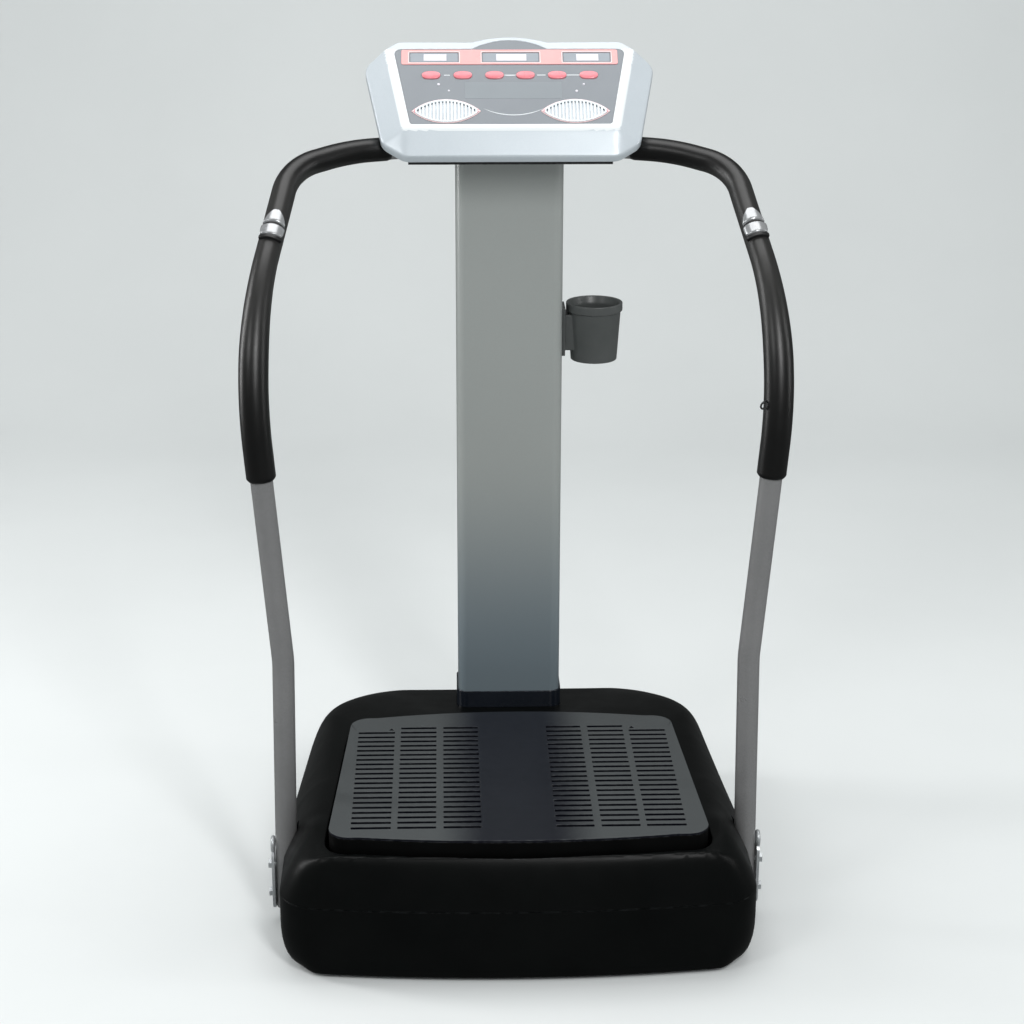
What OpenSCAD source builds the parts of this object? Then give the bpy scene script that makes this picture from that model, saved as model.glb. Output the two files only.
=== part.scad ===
// Standing vibration plate with upright column, console and two side handles.
// Millimetres, +Z up, origin on the floor at the centre of the base footprint.
// The user stands at -Y (front) and faces +Y (rear), where the column is. Right is +X.

/* [Base] */
// Half width of the base at the front
base_half_width = 342; // [335:1:355]
// Half width of the base at the rear corners
base_rear_half_width = 312; // [305:1:320]
// Height of the seam between lower and upper shell
seam_z = 112; // [108:1:116]
// Wall thickness of the moulded shells
shell_wall = 3; // [2.5:0.5:3.5]
// Height of the shell edge around the platform
deck_z = 187; // [185:1:189]

/* [Platform] */
// Height of the walking surface
plate_z = 210; // [209:1:214]
// Half width of the platform at the front
plate_half_width = 271; // [262:1:274]
// Half width of the platform at the back
plate_back_half_width = 250; // [244:1:256]
// Rows of slots in the inner columns
slot_rows = 22; // [18:1:22]
// Width of one slot
slot_width = 6.4; // [4:0.2:8]
// Gap between platform skirt and shell
plate_gap = 6; // [5:0.5:8]

/* [Column] */
// Width of the column
col_width = 164; // [160:1:168]
// Depth of the column
col_depth = 90; // [88:1:94]
// Edge radius of the column
col_radius = 16; // [12:1:20]
// Height of the top end of the column
col_top = 1072; // [1072:1:1072]

/* [Handles] */
// Outside diameter of the handle tube
tube_diameter = 31.8; // [30:0.2:31.8]
// Wall thickness of the handle tube
tube_wall = 1.8; // [1.5:0.1:2.5]
// Outside diameter of the thick foam grip
foam_diameter = 41; // [38:1:43]
// Outside diameter of the thin upper sleeve
sleeve_diameter = 34.8; // [34:0.2:36]

/* [Console] */
// Tilt of the console face from the horizontal, degrees
face_tilt = 42; // [42:1:42]
// Pitch of the loudspeaker grille slots
grille_pitch = 5.2; // [4.8:0.1:6]

/* [Drive] */
// Eccentricity of the two drive discs
eccentricity = 7; // [4:0.5:7]
// Radial clearance of the running fits
running_fit = 0.05; // [0.03:0.01:0.1]
// Radius of the driven pulley
pulley_radius = 50; // [46:1:50]
// Radius of the motor pulley
motor_pulley_radius = 20; // [18:1:22]

/* [Cup holder] */
// Inside radius of the cup holder at the rim
cup_radius = 40; // [37:0.5:40]

/* [Hidden] */
$fn = 48;

// Base and frame
base_front = -328;
base_rear = 350;
front_corner = 62; // plan corner radii
rear_corner = 150;
shell_bottom = 12;
frame_z = 16.5; // underside and top of the frame tubes
frame_top = 46.5;
flat_height = 12; // low cross bars of the frame
flat_top = frame_z + flat_height;
rail_x = 235; // side rails
rail_inner_x = 215;
pad_y = 262; // rubber feet, under the side rails
socket_tube_y = [212, 290]; // cross tubes that carry the column
socket_bolt_x = 92;
socket_bolt_z = [102, 142];
bolt_radius = 4;
bolt_hole = 4.3;
wheel_x = 170; // transport wheel centres
wheel_y = 334;
wheel_z = 21;
axle_radius = 5;

// Platform
plate_front = -300;
plate_back = 107;
tread_height = 4;
board_height = 6;
plate_frame_z = 180; // underside of the platform frame and skirt
plate_bar = 20; // height of its bars

// Column
col_y = 222 + col_depth / 2;
col_bottom = 62;
col_side = col_width / 2 + 0.05; // mounting plane for parts on the column's sides

// Drive: shaft centres and stations along X
crank = [0, -90, 85];
motor = [0, 20, 88];
rotor_radius = 8;
crank_radius = 12.5;
pin_radius = 8;
press_gap = 0.02; // radial gap of fixed bores
motor_radius = 55;
motor_bore = 51;
pulley_x = 95;
pulley_width = 20;
bearing_x = 150;
conrod_x = 195;
disc_radius = 25; // eccentric disc
pivot_y = [-280, 99]; // platform pivot blocks
pivot_z = 165;
pivot_seat_z = 135;
pin_z = 140; // upper ends of the connecting rods

// Right handle: corners of the tube axis and bend radius at each corner
tube_radius = tube_diameter / 2;
foot_x = 341;
foot_y = -150;
arm_bolt_z = [46, 92];
arm_path = [
    [foot_x, foot_y, 24], [335, foot_y, 416], [373, -148, 887],
    [319, 100, 1067], [237, 162, 1094], [70, 232, 1094]
];
arm_radii = [0, 180, 300, 80, 80, 0];

// Rear sockets: centres, and width and height of each body
rear_z = 70;
inlet_x = -60;
inlet_body = [48, 28];
switch_x = 20;
switch_body = [30, 24];

// Colours used by more than one node
shell_black = [0.03, 0.03, 0.035];
aluminium = [0.62, 0.63, 0.66];
frame_black = [0.14, 0.14, 0.15];
block_grey = [0.3, 0.32, 0.36];
shaft_steel = [0.75, 0.75, 0.77];
bolt_steel = [0.7, 0.7, 0.72];
grip_black = [0.04, 0.04, 0.045];
socket_black = [0.04, 0.04, 0.04];
board_green = [0.05, 0.25, 0.12];

// ---------- helpers ----------
function unit(v) = v / norm(v);
// For a corner arc between directions a and b: distance from corner to tangent point
function tangent_length(a, b, radius) = radius / tan(acos(a * b) / 2);
function arc_centre(corner, a, b, radius) =
    corner + unit(a + b) * radius / sin(acos(a * b) / 2);
// Radius of the circle through a chord with the given rise
function bow_radius(half_chord, rise) = (half_chord * half_chord + rise * rise) / (2 * rise);
// Matrix that places the axes x, y, z at origin
function frame_matrix(x, y, z, origin) =
    concat([for (i = [0:2]) [x[i], y[i], z[i], origin[i]]], [[0, 0, 0, 1]]);
function arc_points(centre, radius, start, end, steps) = [
    for (k = [0:steps])
        let (angle = start + (end - start) * k / steps)
        centre + radius * [cos(angle), sin(angle)]
];

module mirrored() {
    children();
    mirror([1, 0, 0]) children();
}
// Extrusions centred on the origin; the profile is drawn in XZ or in YZ
module extrude_y(length) {
    rotate([90, 0, 0]) translate([0, 0, -length / 2]) linear_extrude(length) children();
}
module extrude_x(length) {
    rotate([90, 0, 90]) translate([0, 0, -length / 2]) linear_extrude(length) children();
}
module x_rod(radius, x0, x1) {
    translate([x0, 0, 0]) rotate([0, 90, 0]) cylinder(r = radius, h = x1 - x0);
}
module y_rod(radius, y0, y1) {
    translate([0, y1, 0]) rotate([90, 0, 0]) cylinder(r = radius, h = y1 - y0);
}

// Convex polygon with a true arc at each corner
module rounded_polygon(points, radii) {
    count = len(points);
    function to_last(i) = unit(points[(i + count - 1) % count] - points[i]);
    function to_next(i) = unit(points[(i + 1) % count] - points[i]);
    polygon([
        for (i = [0:count - 1])
            let (reach = radii[i] > 0 ? tangent_length(to_last(i), to_next(i), radii[i]) : 0)
            each (radii[i] > 0
                ? [points[i] + to_last(i) * reach, points[i] + to_next(i) * reach]
                : [points[i]])
    ]);
    for (i = [0:count - 1]) if (radii[i] > 0)
        translate(arc_centre(points[i], to_last(i), to_next(i), radii[i]))
            circle(r = radii[i]);
}
module rounded_rect(width, depth, radius) {
    x = width / 2;
    y = depth / 2;
    rounded_polygon([[-x, -y], [x, -y], [x, y], [-x, y]], [radius, radius, radius, radius]);
}
// Circle segment bulging towards -Y from a chord, with 20 mm of depth behind the chord
module bow(chord_y, half_chord, rise, grow = 0) {
    radius = bow_radius(half_chord, rise);
    intersection() {
        translate([0, chord_y - rise + radius]) circle(r = radius + grow, $fn = 720);
        translate([-half_chord, chord_y - rise - grow - 1])
            square([2 * half_chord, rise + grow + 20]);
    }
}

// Round bar between two points, lengthened at its ends
module bar(start, end, radius, start_extra = 0, end_extra = 0) {
    span = end - start;
    length = norm(span);
    translate(start) rotate([0, acos(span[2] / length), atan2(span[1], span[0])])
        translate([0, 0, -start_extra])
            cylinder(r = radius, h = length + start_extra + end_extra, $fn = 36);
}
// Round bend at a corner between the directions a and b
module bend(corner, a, b, bend_radius, radius) {
    reach = tangent_length(a, b, bend_radius);
    centre = arc_centre(corner, a, b, bend_radius);
    x = unit(corner + a * reach - centre);
    z = unit(cross(corner + a * reach - centre, corner + b * reach - centre));
    sweep = 180 - acos(a * b);
    multmatrix(frame_matrix(x, cross(z, x), z, centre))
        rotate_extrude(angle = sweep, $fn = max(36, ceil(360 / sweep) * 6))
            translate([bend_radius, 0]) circle(r = radius, $fn = 36);
}
// Bent round bar along a path; the straights, 0.1 mm thinner, reach 2 mm into the bends
module bent_bar(path, radii, radius, end_extra = 0) {
    last = len(path) - 1;
    dirs = [for (i = [0:last - 1]) unit(path[i + 1] - path[i])];
    reach = [
        for (i = [0:last])
            i == 0 || i == last || radii[i] == 0
                ? 0
                : tangent_length(-dirs[i - 1], dirs[i], radii[i])
    ];
    for (i = [0:last - 1])
        bar(path[i] + dirs[i] * reach[i], path[i + 1] - dirs[i] * reach[i + 1], radius - 0.1,
            reach[i] > 0 ? 2 : end_extra, reach[i + 1] > 0 ? 2 : end_extra);
    for (i = [1:1:last - 1]) bend(path[i], -dirs[i - 1], dirs[i], radii[i], radius);
}

// ---------- shared places ----------
module at_pads() {
    for (x = [-rail_x, rail_x], y = [-pad_y, pad_y]) translate([x, y, 0]) children();
}
module at_socket_bolts() {
    for (x = [-socket_bolt_x, socket_bolt_x], y = socket_tube_y)
        translate([x, y, 0]) children();
}
// Cross holes at the foot of the right handle
module arm_holes(radius, x0, x1) {
    for (z = arm_bolt_z) translate([0, foot_y, z]) x_rod(radius, x0, x1);
}
// Holes through both sides of the column near its foot
module socket_side_holes(radius) {
    mirrored() for (z = socket_bolt_z) translate([0, col_y, z]) x_rod(radius, 60, 90);
}
// Prism on the column's axis, with the column's section grown all round
module column_prism(z, height, grow) {
    translate([0, col_y, z]) linear_extrude(height) column_section(grow);
}
module column_ring(z, height, outer, inner) {
    translate([0, col_y, z]) linear_extrude(height) difference() {
        column_section(outer);
        column_section(inner);
    }
}
module column_section(grow) {
    rounded_rect(col_width + 2 * grow, col_depth + 2 * grow, col_radius + grow);
}
// Box and extrusion running to the rear, centred on a rear socket
module rear_box(x, y, depth, size) {
    translate([x - size[0] / 2, y, rear_z - size[1] / 2]) cube([size[0], depth, size[1]]);
}
module rear_extrude(x, y, depth) {
    translate([x, y, rear_z]) rotate([-90, 0, 0]) linear_extrude(depth) children();
}

// ---------- base shells ----------
// Arc that rounds a corner, from the side of the last point to that of the next
function corner_points(last, corner, next, radius, steps) =
    let (
        a = unit(last - corner),
        b = unit(next - corner),
        centre = arc_centre(corner, a, b, radius),
        reach = tangent_length(a, b, radius),
        from = corner + a * reach - centre,
        to = corner + b * reach - centre,
        start = atan2(from[1], from[0]),
        turn = atan2(from[0] * to[1] - from[1] * to[0], from * to)
    )
    arc_points(centre, radius, start, start + turn, steps);
// Inner points of a bow towards -Y, from -X to +X
function bow_points(chord_y, half_chord, rise, steps) =
    let (radius = bow_radius(half_chord, rise), half_angle = asin(half_chord / radius))
    [
        for (k = [1:steps - 1])
            let (angle = -half_angle + 2 * half_angle * k / steps)
            [radius * sin(angle), chord_y - rise + radius - radius * cos(angle)]
    ];
// Plan of the base, each corner a fine polygon so that the shells' walls stay flat-faced
module plan(inset) {
    front_x = base_half_width - inset;
    rear_x = base_rear_half_width - inset;
    front_y = base_front + inset;
    rear_y = base_rear - inset;
    side_y = -60; // where the sides start to taper
    front_left = [-front_x, front_y];
    front_right = [front_x, front_y];
    side_right = [front_x, side_y];
    rear_right = [rear_x, rear_y];
    rear_left = [-rear_x, rear_y];
    side_left = [-front_x, side_y];
    front_r = front_corner - inset;
    rear_r = rear_corner - inset;
    polygon(concat(
        corner_points(side_left, front_left, front_right, front_r, 14),
        bow_points(front_y, base_half_width - front_corner, 17, 28),
        corner_points(front_left, front_right, side_right, front_r, 14),
        [side_right],
        corner_points(side_right, rear_right, rear_left, rear_r, 24),
        corner_points(rear_right, rear_left, side_left, rear_r, 24),
        [side_left]
    ));
}
module lower_body() {
    x = base_half_width + 0.3;
    intersection() {
        translate([0, 0, shell_bottom]) linear_extrude(seam_z - shell_bottom) plan(0);
        extrude_y(800) rounded_polygon(
            [[-x, shell_bottom], [x, shell_bottom], [x, 200], [-x, 200]], [36, 36, 0, 0]);
    }
}
// Inside of the lower shell, stepped to follow the rounded lower edge
module lower_hollow() {
    translate([0, 0, 15]) linear_extrude(14) plan(26);
    translate([0, 0, 28]) linear_extrude(18) plan(11);
    translate([0, 0, 45]) linear_extrude(seam_z - 40) plan(shell_wall);
}
module upper_body(inset) {
    side_x = base_half_width - inset;
    deck_x = 286 - inset * 0.5;
    low = seam_z - 2;
    top = deck_z - inset;
    intersection() {
        translate([0, 0, seam_z]) linear_extrude(90) plan(inset);
        extrude_y(800) rounded_polygon(
            [[-side_x, low], [side_x, low], [side_x - 18, 152],
                [deck_x, top], [-deck_x, top], [-side_x + 18, 152]],
            [0, 0, 24, 14, 14, 24]);
        extrude_x(800) rounded_polygon(
            [[-345 + inset, low], [352 - inset, low], [346 - inset, 160],
                [150, top], [-324 + inset, top]],
            [0, 0, 18, 0, 8]);
    }
}
// Pockets in the shells' sides for the handle feet
module arm_pockets(grow, z0, z1) {
    mirrored() translate([321 - grow, foot_y - 19 - grow, z0])
        cube([80 + grow, 38 + 2 * grow, z1 - z0]);
}
module lower_shell() {
    color(shell_black) difference() {
        union() {
            difference() {
                lower_body();
                lower_hollow();
                translate([0, 0, 8]) linear_extrude(12) intersection() {
                    rounded_rect(590, 610, 20);
                    plan(36);
                }
            }
            intersection() {
                lower_body();
                arm_pockets(shell_wall, shell_bottom, seam_z);
            }
        }
        arm_pockets(0, 8, seam_z + 5);
        mirrored() arm_holes(4.6, 300, 330);
        mirrored() translate([wheel_x - 15, 300, 0]) cube([30, 80, 56]);
        rear_box(inlet_x, 330, 40, inlet_body + [0.4, 0.4]);
        rear_box(switch_x, 330, 40, switch_body + [0.4, 0.4]);
    }
}
module plate_outline(grow) {
    front_x = plate_half_width + grow;
    back_x = plate_back_half_width + grow;
    front_y = plate_front - grow;
    back_y = plate_back + grow;
    radius = 30 + grow;
    rounded_polygon(
        [[-front_x, front_y], [front_x, front_y], [back_x, back_y], [-back_x, back_y]],
        [radius, radius, radius, radius], $fn = 72);
    bow(plate_front, 225, 16, grow);
    mirror([0, 1, 0]) bow(-plate_back, 210, 20, grow);
}
module upper_shell() {
    col_gap = 3;
    color(shell_black) difference() {
        union() {
            difference() {
                upper_body(0);
                translate([0, 0, -0.01]) upper_body(shell_wall);
            }
            // walls round the handle pockets, the platform well and the column opening
            intersection() {
                upper_body(0);
                arm_pockets(shell_wall, seam_z, 200);
            }
            intersection() {
                upper_body(0);
                translate([0, 0, 166]) linear_extrude(40) plate_outline(plate_gap + shell_wall);
            }
            intersection() {
                upper_body(0);
                column_prism(146, 60, col_gap + shell_wall);
            }
        }
        arm_pockets(0, seam_z - 5, 210);
        translate([0, 0, 100]) linear_extrude(150) plate_outline(plate_gap);
        column_prism(100, 150, col_gap);
    }
}
module bottom_cover() {
    color([0.25, 0.25, 0.26]) translate([0, 0, 15.05]) linear_extrude(1.4) difference() {
        intersection() {
            rounded_rect(610, 628, 18);
            plan(27);
        }
        at_pads() circle(r = 5);
        mirrored() translate([wheel_x - 16, 298]) square([32, 40]);
        for (x = [-200:40:200], y = [90:30:210]) translate([x, y]) square([24, 5], center = true);
    }
}

// ---------- base frame ----------
// Rectangular tube with a 2 mm wall between two opposite corners, open along axis 0 or 1
module box_tube(low, high, open_axis) {
    size = high - low;
    inset = [open_axis == 0 ? -1 : 2, open_axis == 1 ? -1 : 2, 2];
    difference() {
        translate(low) cube(size);
        translate(low + inset) cube(size - 2 * inset);
    }
}
module base_frame() {
    inner_width = 2 * rail_inner_x;
    color([0.12, 0.12, 0.13]) difference() {
        union() {
            // side rails, cross tubes, stubs to the handle feet with their end plates
            mirrored() box_tube([rail_x - 20, -290, frame_z], [rail_x + 20, 290, frame_top], 1);
            for (y = concat([-278, foot_y], socket_tube_y))
                box_tube([-rail_inner_x, y - 15, frame_z], [rail_inner_x, y + 15, frame_top], 0);
            mirrored()
                box_tube([rail_x + 20, foot_y - 15, frame_z], [314, foot_y + 15, frame_top], 0);
            mirrored() translate([313.5, foot_y - 18, 30]) cube([4, 36, 78]);
            // flat bars under the motor mount
            for (y = [-20, 60])
                translate([-rail_inner_x, y - 15, frame_z]) cube([inner_width, 30, flat_height]);
            // bearing block supports
            mirrored() translate([bearing_x - 15, -135, frame_z]) cube([30, 100, 30]);
            // posts of the front and rear pivot blocks, and the bar at the rear post
            translate([-20, pivot_y[0] - 13, frame_top]) cube([40, 26, pivot_seat_z - frame_top]);
            translate([-20, pivot_y[1] - 13, frame_z]) cube([40, 26, pivot_seat_z - frame_z]);
            translate([-rail_inner_x, 92, frame_z]) cube([inner_width, 14, flat_height]);
            // wheel forks and axles
            mirrored() translate([wheel_x, 0, 0]) {
                for (x = [-13.2, 13.2]) translate([x - 1.5, 300, 14.5]) cube([3, 42, 30]);
                translate([-14.7, 300.5, 30]) cube([29.4, 4.5, 14]);
                translate([0, wheel_y, wheel_z]) x_rod(axle_radius, -11.8, 11.8);
            }
        }
        mirrored() arm_holes(bolt_hole, 305, 330);
        at_pads() translate([0, 0, 10]) cylinder(r = bolt_hole, h = 14);
        at_socket_bolts() translate([0, 0, 40]) cylinder(r = bolt_hole, h = 10);
    }
}
module rubber_feet() {
    color([0.05, 0.05, 0.05]) at_pads() {
        // radius, height
        rotate_extrude($fn = 48)
            polygon([[0, 0], [26, 0], [28, 2.5], [27, 7], [22, 12], [22, 15], [0, 15]]);
        translate([0, 0, 15]) cylinder(r = bolt_radius, h = 20);
    }
}
module wheel_at(side) {
    color([0.08, 0.08, 0.08]) translate([side * wheel_x, wheel_y, wheel_z]) difference() {
        union() {
            x_rod(18, -10, 10);
            x_rod(9, -11, 11);
        }
        x_rod(axle_radius + running_fit, -20, 20);
    }
}
module wheel_left() { wheel_at(-1); }
module wheel_right() { wheel_at(1); }

// ---------- drive ----------
module motor_housing() {
    color([0.35, 0.36, 0.38]) translate(motor) difference() {
        union() {
            x_rod(motor_radius, -60, 60);
            for (angle = [-45:30:225])
                rotate([angle, 0, 0]) translate([-50, -1.5, 53]) cube([100, 3, 5.5]);
        }
        x_rod(motor_bore, -61, 61);
    }
}
module motor_end_caps() {
    color([0.55, 0.56, 0.58]) translate(motor) mirrored() difference() {
        union() {
            x_rod(motor_radius, 60, 68);
            x_rod(20, 48, 74);
        }
        x_rod(rotor_radius + running_fit, -90, 90);
    }
}
module motor_stator() {
    color([0.45, 0.3, 0.18]) translate(motor) difference() {
        x_rod(motor_bore, -35, 35);
        x_rod(34, -36, 36);
        for (angle = [0:30:330])
            rotate([angle, 0, 0]) translate([-36, -3, 30]) cube([72, 6, 10]);
    }
}
module rotor_core() {
    color([0.6, 0.6, 0.62]) translate(motor) difference() {
        x_rod(33.4, -35, 35);
        x_rod(rotor_radius + press_gap, -36, 36);
    }
}
module rotor_shaft() {
    color(shaft_steel) translate(motor) x_rod(rotor_radius, -78, 112);
}
// Pulley with a 2 mm flange at each end
module flanged_pulley(radius, bore) {
    x0 = pulley_x - pulley_width / 2;
    x1 = pulley_x + pulley_width / 2;
    difference() {
        union() {
            x_rod(radius, x0, x1);
            x_rod(radius + 3, x0, x0 + 2);
            x_rod(radius + 3, x1 - 2, x1);
        }
        x_rod(bore, x0 - 1, x1 + 1);
    }
}
module motor_pulley() {
    color([0.5, 0.5, 0.52]) translate(motor)
        flanged_pulley(motor_pulley_radius, rotor_radius + press_gap);
}
module crank_pulley() {
    color([0.32, 0.33, 0.35]) translate(crank) difference() {
        flanged_pulley(pulley_radius, crank_radius + press_gap);
        for (angle = [0:60:300]) rotate([angle, 0, 0]) translate([0, 0, 31]) x_rod(8, 80, 110);
    }
}
// Open belt line around both pulleys, drawn in YZ from the crank centre
module belt_loop(gap) {
    span = [motor[1] - crank[1], motor[2] - crank[2]];
    heading = atan2(span[1], span[0]);
    wrap = acos((pulley_radius - motor_pulley_radius) / norm(span));
    polygon(concat(
        arc_points([0, 0], pulley_radius + gap, heading + wrap, heading + 360 - wrap, 48),
        arc_points(span, motor_pulley_radius + gap, heading - wrap, heading + wrap, 32)
    ));
}
module drive_belt() {
    color([0.06, 0.06, 0.06]) translate([pulley_x, crank[1], crank[2]]) difference() {
        extrude_x(15) belt_loop(4.3);
        extrude_x(17) belt_loop(0.3);
    }
}
module motor_mount() {
    color([0.2, 0.2, 0.22]) difference() {
        union() {
            translate([-50, -35, flat_top]) cube([100, 110, 4.5]);
            mirrored() translate([35, -20, flat_top + 4.5]) cube([10, 80, 24]);
        }
        translate(motor) x_rod(motor_radius + 0.05, -60, 60);
        // clearance for the lower fins of the motor
        for (angle = [135:30:225])
            translate(motor) rotate([angle, 0, 0]) translate([-51, -2.2, 50]) cube([102, 4.4, 9.5]);
    }
}
module bearing_blocks() {
    color(block_grey) for (side = [-1, 1])
        translate([side * bearing_x, crank[1], 0]) difference() {
            union() {
                translate([-13, -40, frame_top]) cube([26, 80, 11]);
                translate([-13, -24, frame_top + 11]) cube([26, 48, crank[2] - frame_top - 11]);
                translate([0, 0, crank[2]]) x_rod(30, -13, 13);
            }
            translate([0, 0, crank[2]]) x_rod(crank_radius + running_fit, -20, 20);
            for (y = [-32, 32]) translate([0, y, 40]) cylinder(r = 4.5, h = 30);
        }
}
module pivot_blocks() {
    color(block_grey) for (y = pivot_y) translate([0, y, 0]) difference() {
        union() {
            translate([-32, -11, pivot_seat_z]) cube([64, 22, 12]);
            translate([-16, -11, pivot_seat_z]) cube([32, 22, pivot_z - pivot_seat_z]);
            translate([0, 0, pivot_z]) y_rod(17, -11, 11);
        }
        translate([0, 0, pivot_z]) y_rod(pin_radius + running_fit, -20, 20);
        for (x = [-26, 26]) translate([x, 0, 130]) cylinder(r = 3.4, h = 30);
    }
}
module crank_shaft() {
    color([0.72, 0.72, 0.74]) translate(crank) x_rod(crank_radius, -212, 212);
}
// Two discs, offset in opposite directions along Y
module eccentrics() {
    color([0.6, 0.6, 0.63]) translate(crank) for (side = [-1, 1]) difference() {
        translate([side * conrod_x, side * eccentricity, 0]) x_rod(disc_radius, -9, 9);
        translate([side * conrod_x, 0, 0]) x_rod(crank_radius + press_gap, -12, 12);
    }
}
module connecting_rod(side) {
    color([0.4, 0.42, 0.45])
        translate([side * conrod_x, crank[1] + side * eccentricity, 0]) difference() {
            union() {
                translate([0, 0, crank[2]]) x_rod(33, -8, 8);
                translate([0, 0, pin_z]) x_rod(22.5, -8, 8);
                translate([-8, -14, crank[2]]) cube([16, 28, pin_z - crank[2]]);
            }
            translate([0, 0, crank[2]]) x_rod(disc_radius + running_fit, -12, 12);
            translate([0, 0, pin_z]) x_rod(18, -12, 12);
        }
}
module rod_left() { connecting_rod(-1); }
module rod_right() { connecting_rod(1); }

// ---------- platform ----------
module plate_tread() {
    first_slot_y = -272;
    slot_pitch = 339 / 21;
    color([0.16, 0.17, 0.19]) translate([0, 0, plate_z - tread_height]) difference() {
        linear_extrude(tread_height) plate_outline(0);
        // three columns of slots each side; the outermost has one row fewer
        for (side = [-1, 1], c = [0:2]) {
            length = 54 + c * 1.3;
            rows = c == 2 ? slot_rows - 1 : slot_rows;
            translate([side * (80 + c * 65), 0, -1]) for (i = [0:rows - 1])
                translate([-length / 2, first_slot_y + i * slot_pitch - slot_width / 2, 0])
                    cube([length, slot_width, 6]);
        }
        // triangular hole near each back corner
        for (side = [-1, 1])
            translate([side * 187, 62, -1]) rotate([0, 0, 90]) cylinder(r = 5, h = 6, $fn = 3);
    }
}
module plate_board() {
    color([0.08, 0.08, 0.085]) translate([0, 0, plate_z - tread_height - board_height])
        linear_extrude(board_height) plate_outline(-3.2);
}
module plate_skirt() {
    color(shell_black) translate([0, 0, plate_frame_z])
        linear_extrude(plate_z - tread_height - plate_frame_z) difference() {
            plate_outline(0);
            plate_outline(-3);
        }
}
module plate_frame() {
    color(frame_black) difference() {
        union() {
            translate([0, 0, plate_frame_z]) {
                for (y = [-235, 45]) translate([-232, y - 15, 0]) cube([464, 30, plate_bar]);
                translate([-225, crank[1] - 25, 0]) cube([450, 50, plate_bar]);
                mirrored() translate([95, -220, 0]) cube([30, 250, plate_bar]);
                translate([-18, -254, 0]) cube([36, 10, plate_bar]);
                translate([-18, 55, 0]) cube([36, 20, plate_bar]);
            }
            // lugs for the front and rear pivot pins
            for (y = [-262, 72]) translate([-18, y, 146]) cube([36, 8, 54]);
            // cheeks and pins at the connecting rods
            for (side = [-1, 1]) translate([side * conrod_x, crank[1], 0]) {
                for (x = [-13, 13]) translate([x - 2, -14, 128]) cube([4, 28, 54]);
                translate([0, 0, pin_z]) x_rod(6, -18, 18);
            }
        }
        translate([0, 0, pivot_z]) y_rod(pin_radius + press_gap, -270, 85);
    }
}
module pivot_pins() {
    color(shaft_steel) translate([0, 0, pivot_z]) {
        y_rod(pin_radius, -296, -252);
        y_rod(pin_radius, 70, 112);
    }
}

// ---------- column ----------
module column() {
    color(aluminium) difference() {
        column_ring(col_bottom, col_top - col_bottom, 0, -2);
        socket_side_holes(4.5);
        // two small holes in the right side, behind the cup holder
        for (z = [782, 812]) translate([0, col_y, z]) x_rod(2.6, 60, 90);
    }
}
module column_socket() {
    color(frame_black) difference() {
        union() {
            translate([-105, col_y - 70, frame_top]) cube([210, 108, 8]);
            column_ring(frame_top + 8, 190, -2.5, -6);
        }
        socket_side_holes(bolt_hole);
        at_socket_bolts() translate([0, 0, 40]) cylinder(r = bolt_hole, h = 30);
    }
}
module column_collar() {
    color([0.05, 0.06, 0.09]) column_ring(156, 49, 2.5, 0.2);
}
module frame_bolts() {
    head_radius = 7.5;
    head_height = 5.3;
    color(bolt_steel) {
        // handle feet
        mirrored() for (z = arm_bolt_z) translate([361.2, foot_y, z]) {
            x_rod(bolt_radius, -50, 0);
            rotate([0, 90, 0]) cylinder(r = head_radius, h = head_height, $fn = 6);
        }
        // column sides
        mirrored() for (z = socket_bolt_z) translate([col_side, col_y, z]) {
            x_rod(bolt_radius, -9, 0);
            x_rod(6.5, 0, 1.55);
        }
        // socket plate
        at_socket_bolts() {
            translate([0, 0, 40]) cylinder(r = bolt_radius, h = 14.6);
            translate([0, 0, 54.6]) cylinder(r = head_radius, h = head_height, $fn = 6);
        }
    }
}
module head_bracket() {
    plate_height = 5.5;
    color([0.06, 0.06, 0.065]) {
        column_ring(col_top - 60, 60, -2.5, -5.5);
        translate([-152, 176, col_top]) cube([304, 138, plate_height]);
        mirrored() translate([58.5, 196, col_top + plate_height]) cube([4, 76, 34]);
        // saddles under the handle tubes
        mirrored() difference() {
            translate([112, 182, 1076]) cube([24, 54, 18]);
            bar(arm_path[4], arm_path[5], tube_radius + 0.15);
        }
    }
}

// ---------- handles ----------
module arm_right() {
    color(aluminium) difference() {
        bent_bar(arm_path, arm_radii, tube_radius);
        bent_bar(arm_path, arm_radii, tube_radius - tube_wall, 2);
        arm_holes(bolt_hole, 318, 364);
    }
}
module arm_left() { mirror([1, 0, 0]) arm_right(); }

// Point at height z on one straight leg of the handle axis
function arm_at(leg, z) =
    let (start = arm_path[leg], span = arm_path[leg + 1] - start)
    start + span * ((z - start[2]) / span[2]);
module grip_right() {
    low = arm_at(1, 688);
    middle = arm_at(2, 945);
    top = arm_path[4] + (arm_path[5] - arm_path[4]) * 0.34;
    color(grip_black) difference() {
        union() {
            bent_bar([low, arm_path[2], middle], [0, 300, 0], foam_diameter / 2);
            bent_bar([middle, arm_path[3], arm_path[4], top], [0, 80, 80, 0],
                sleeve_diameter / 2);
        }
        bent_bar([low, arm_path[2], arm_path[3], arm_path[4], top], [0, 300, 80, 80, 0],
            tube_radius + 0.1, 2);
    }
}
module grip_left() { mirror([1, 0, 0]) grip_right(); }

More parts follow.
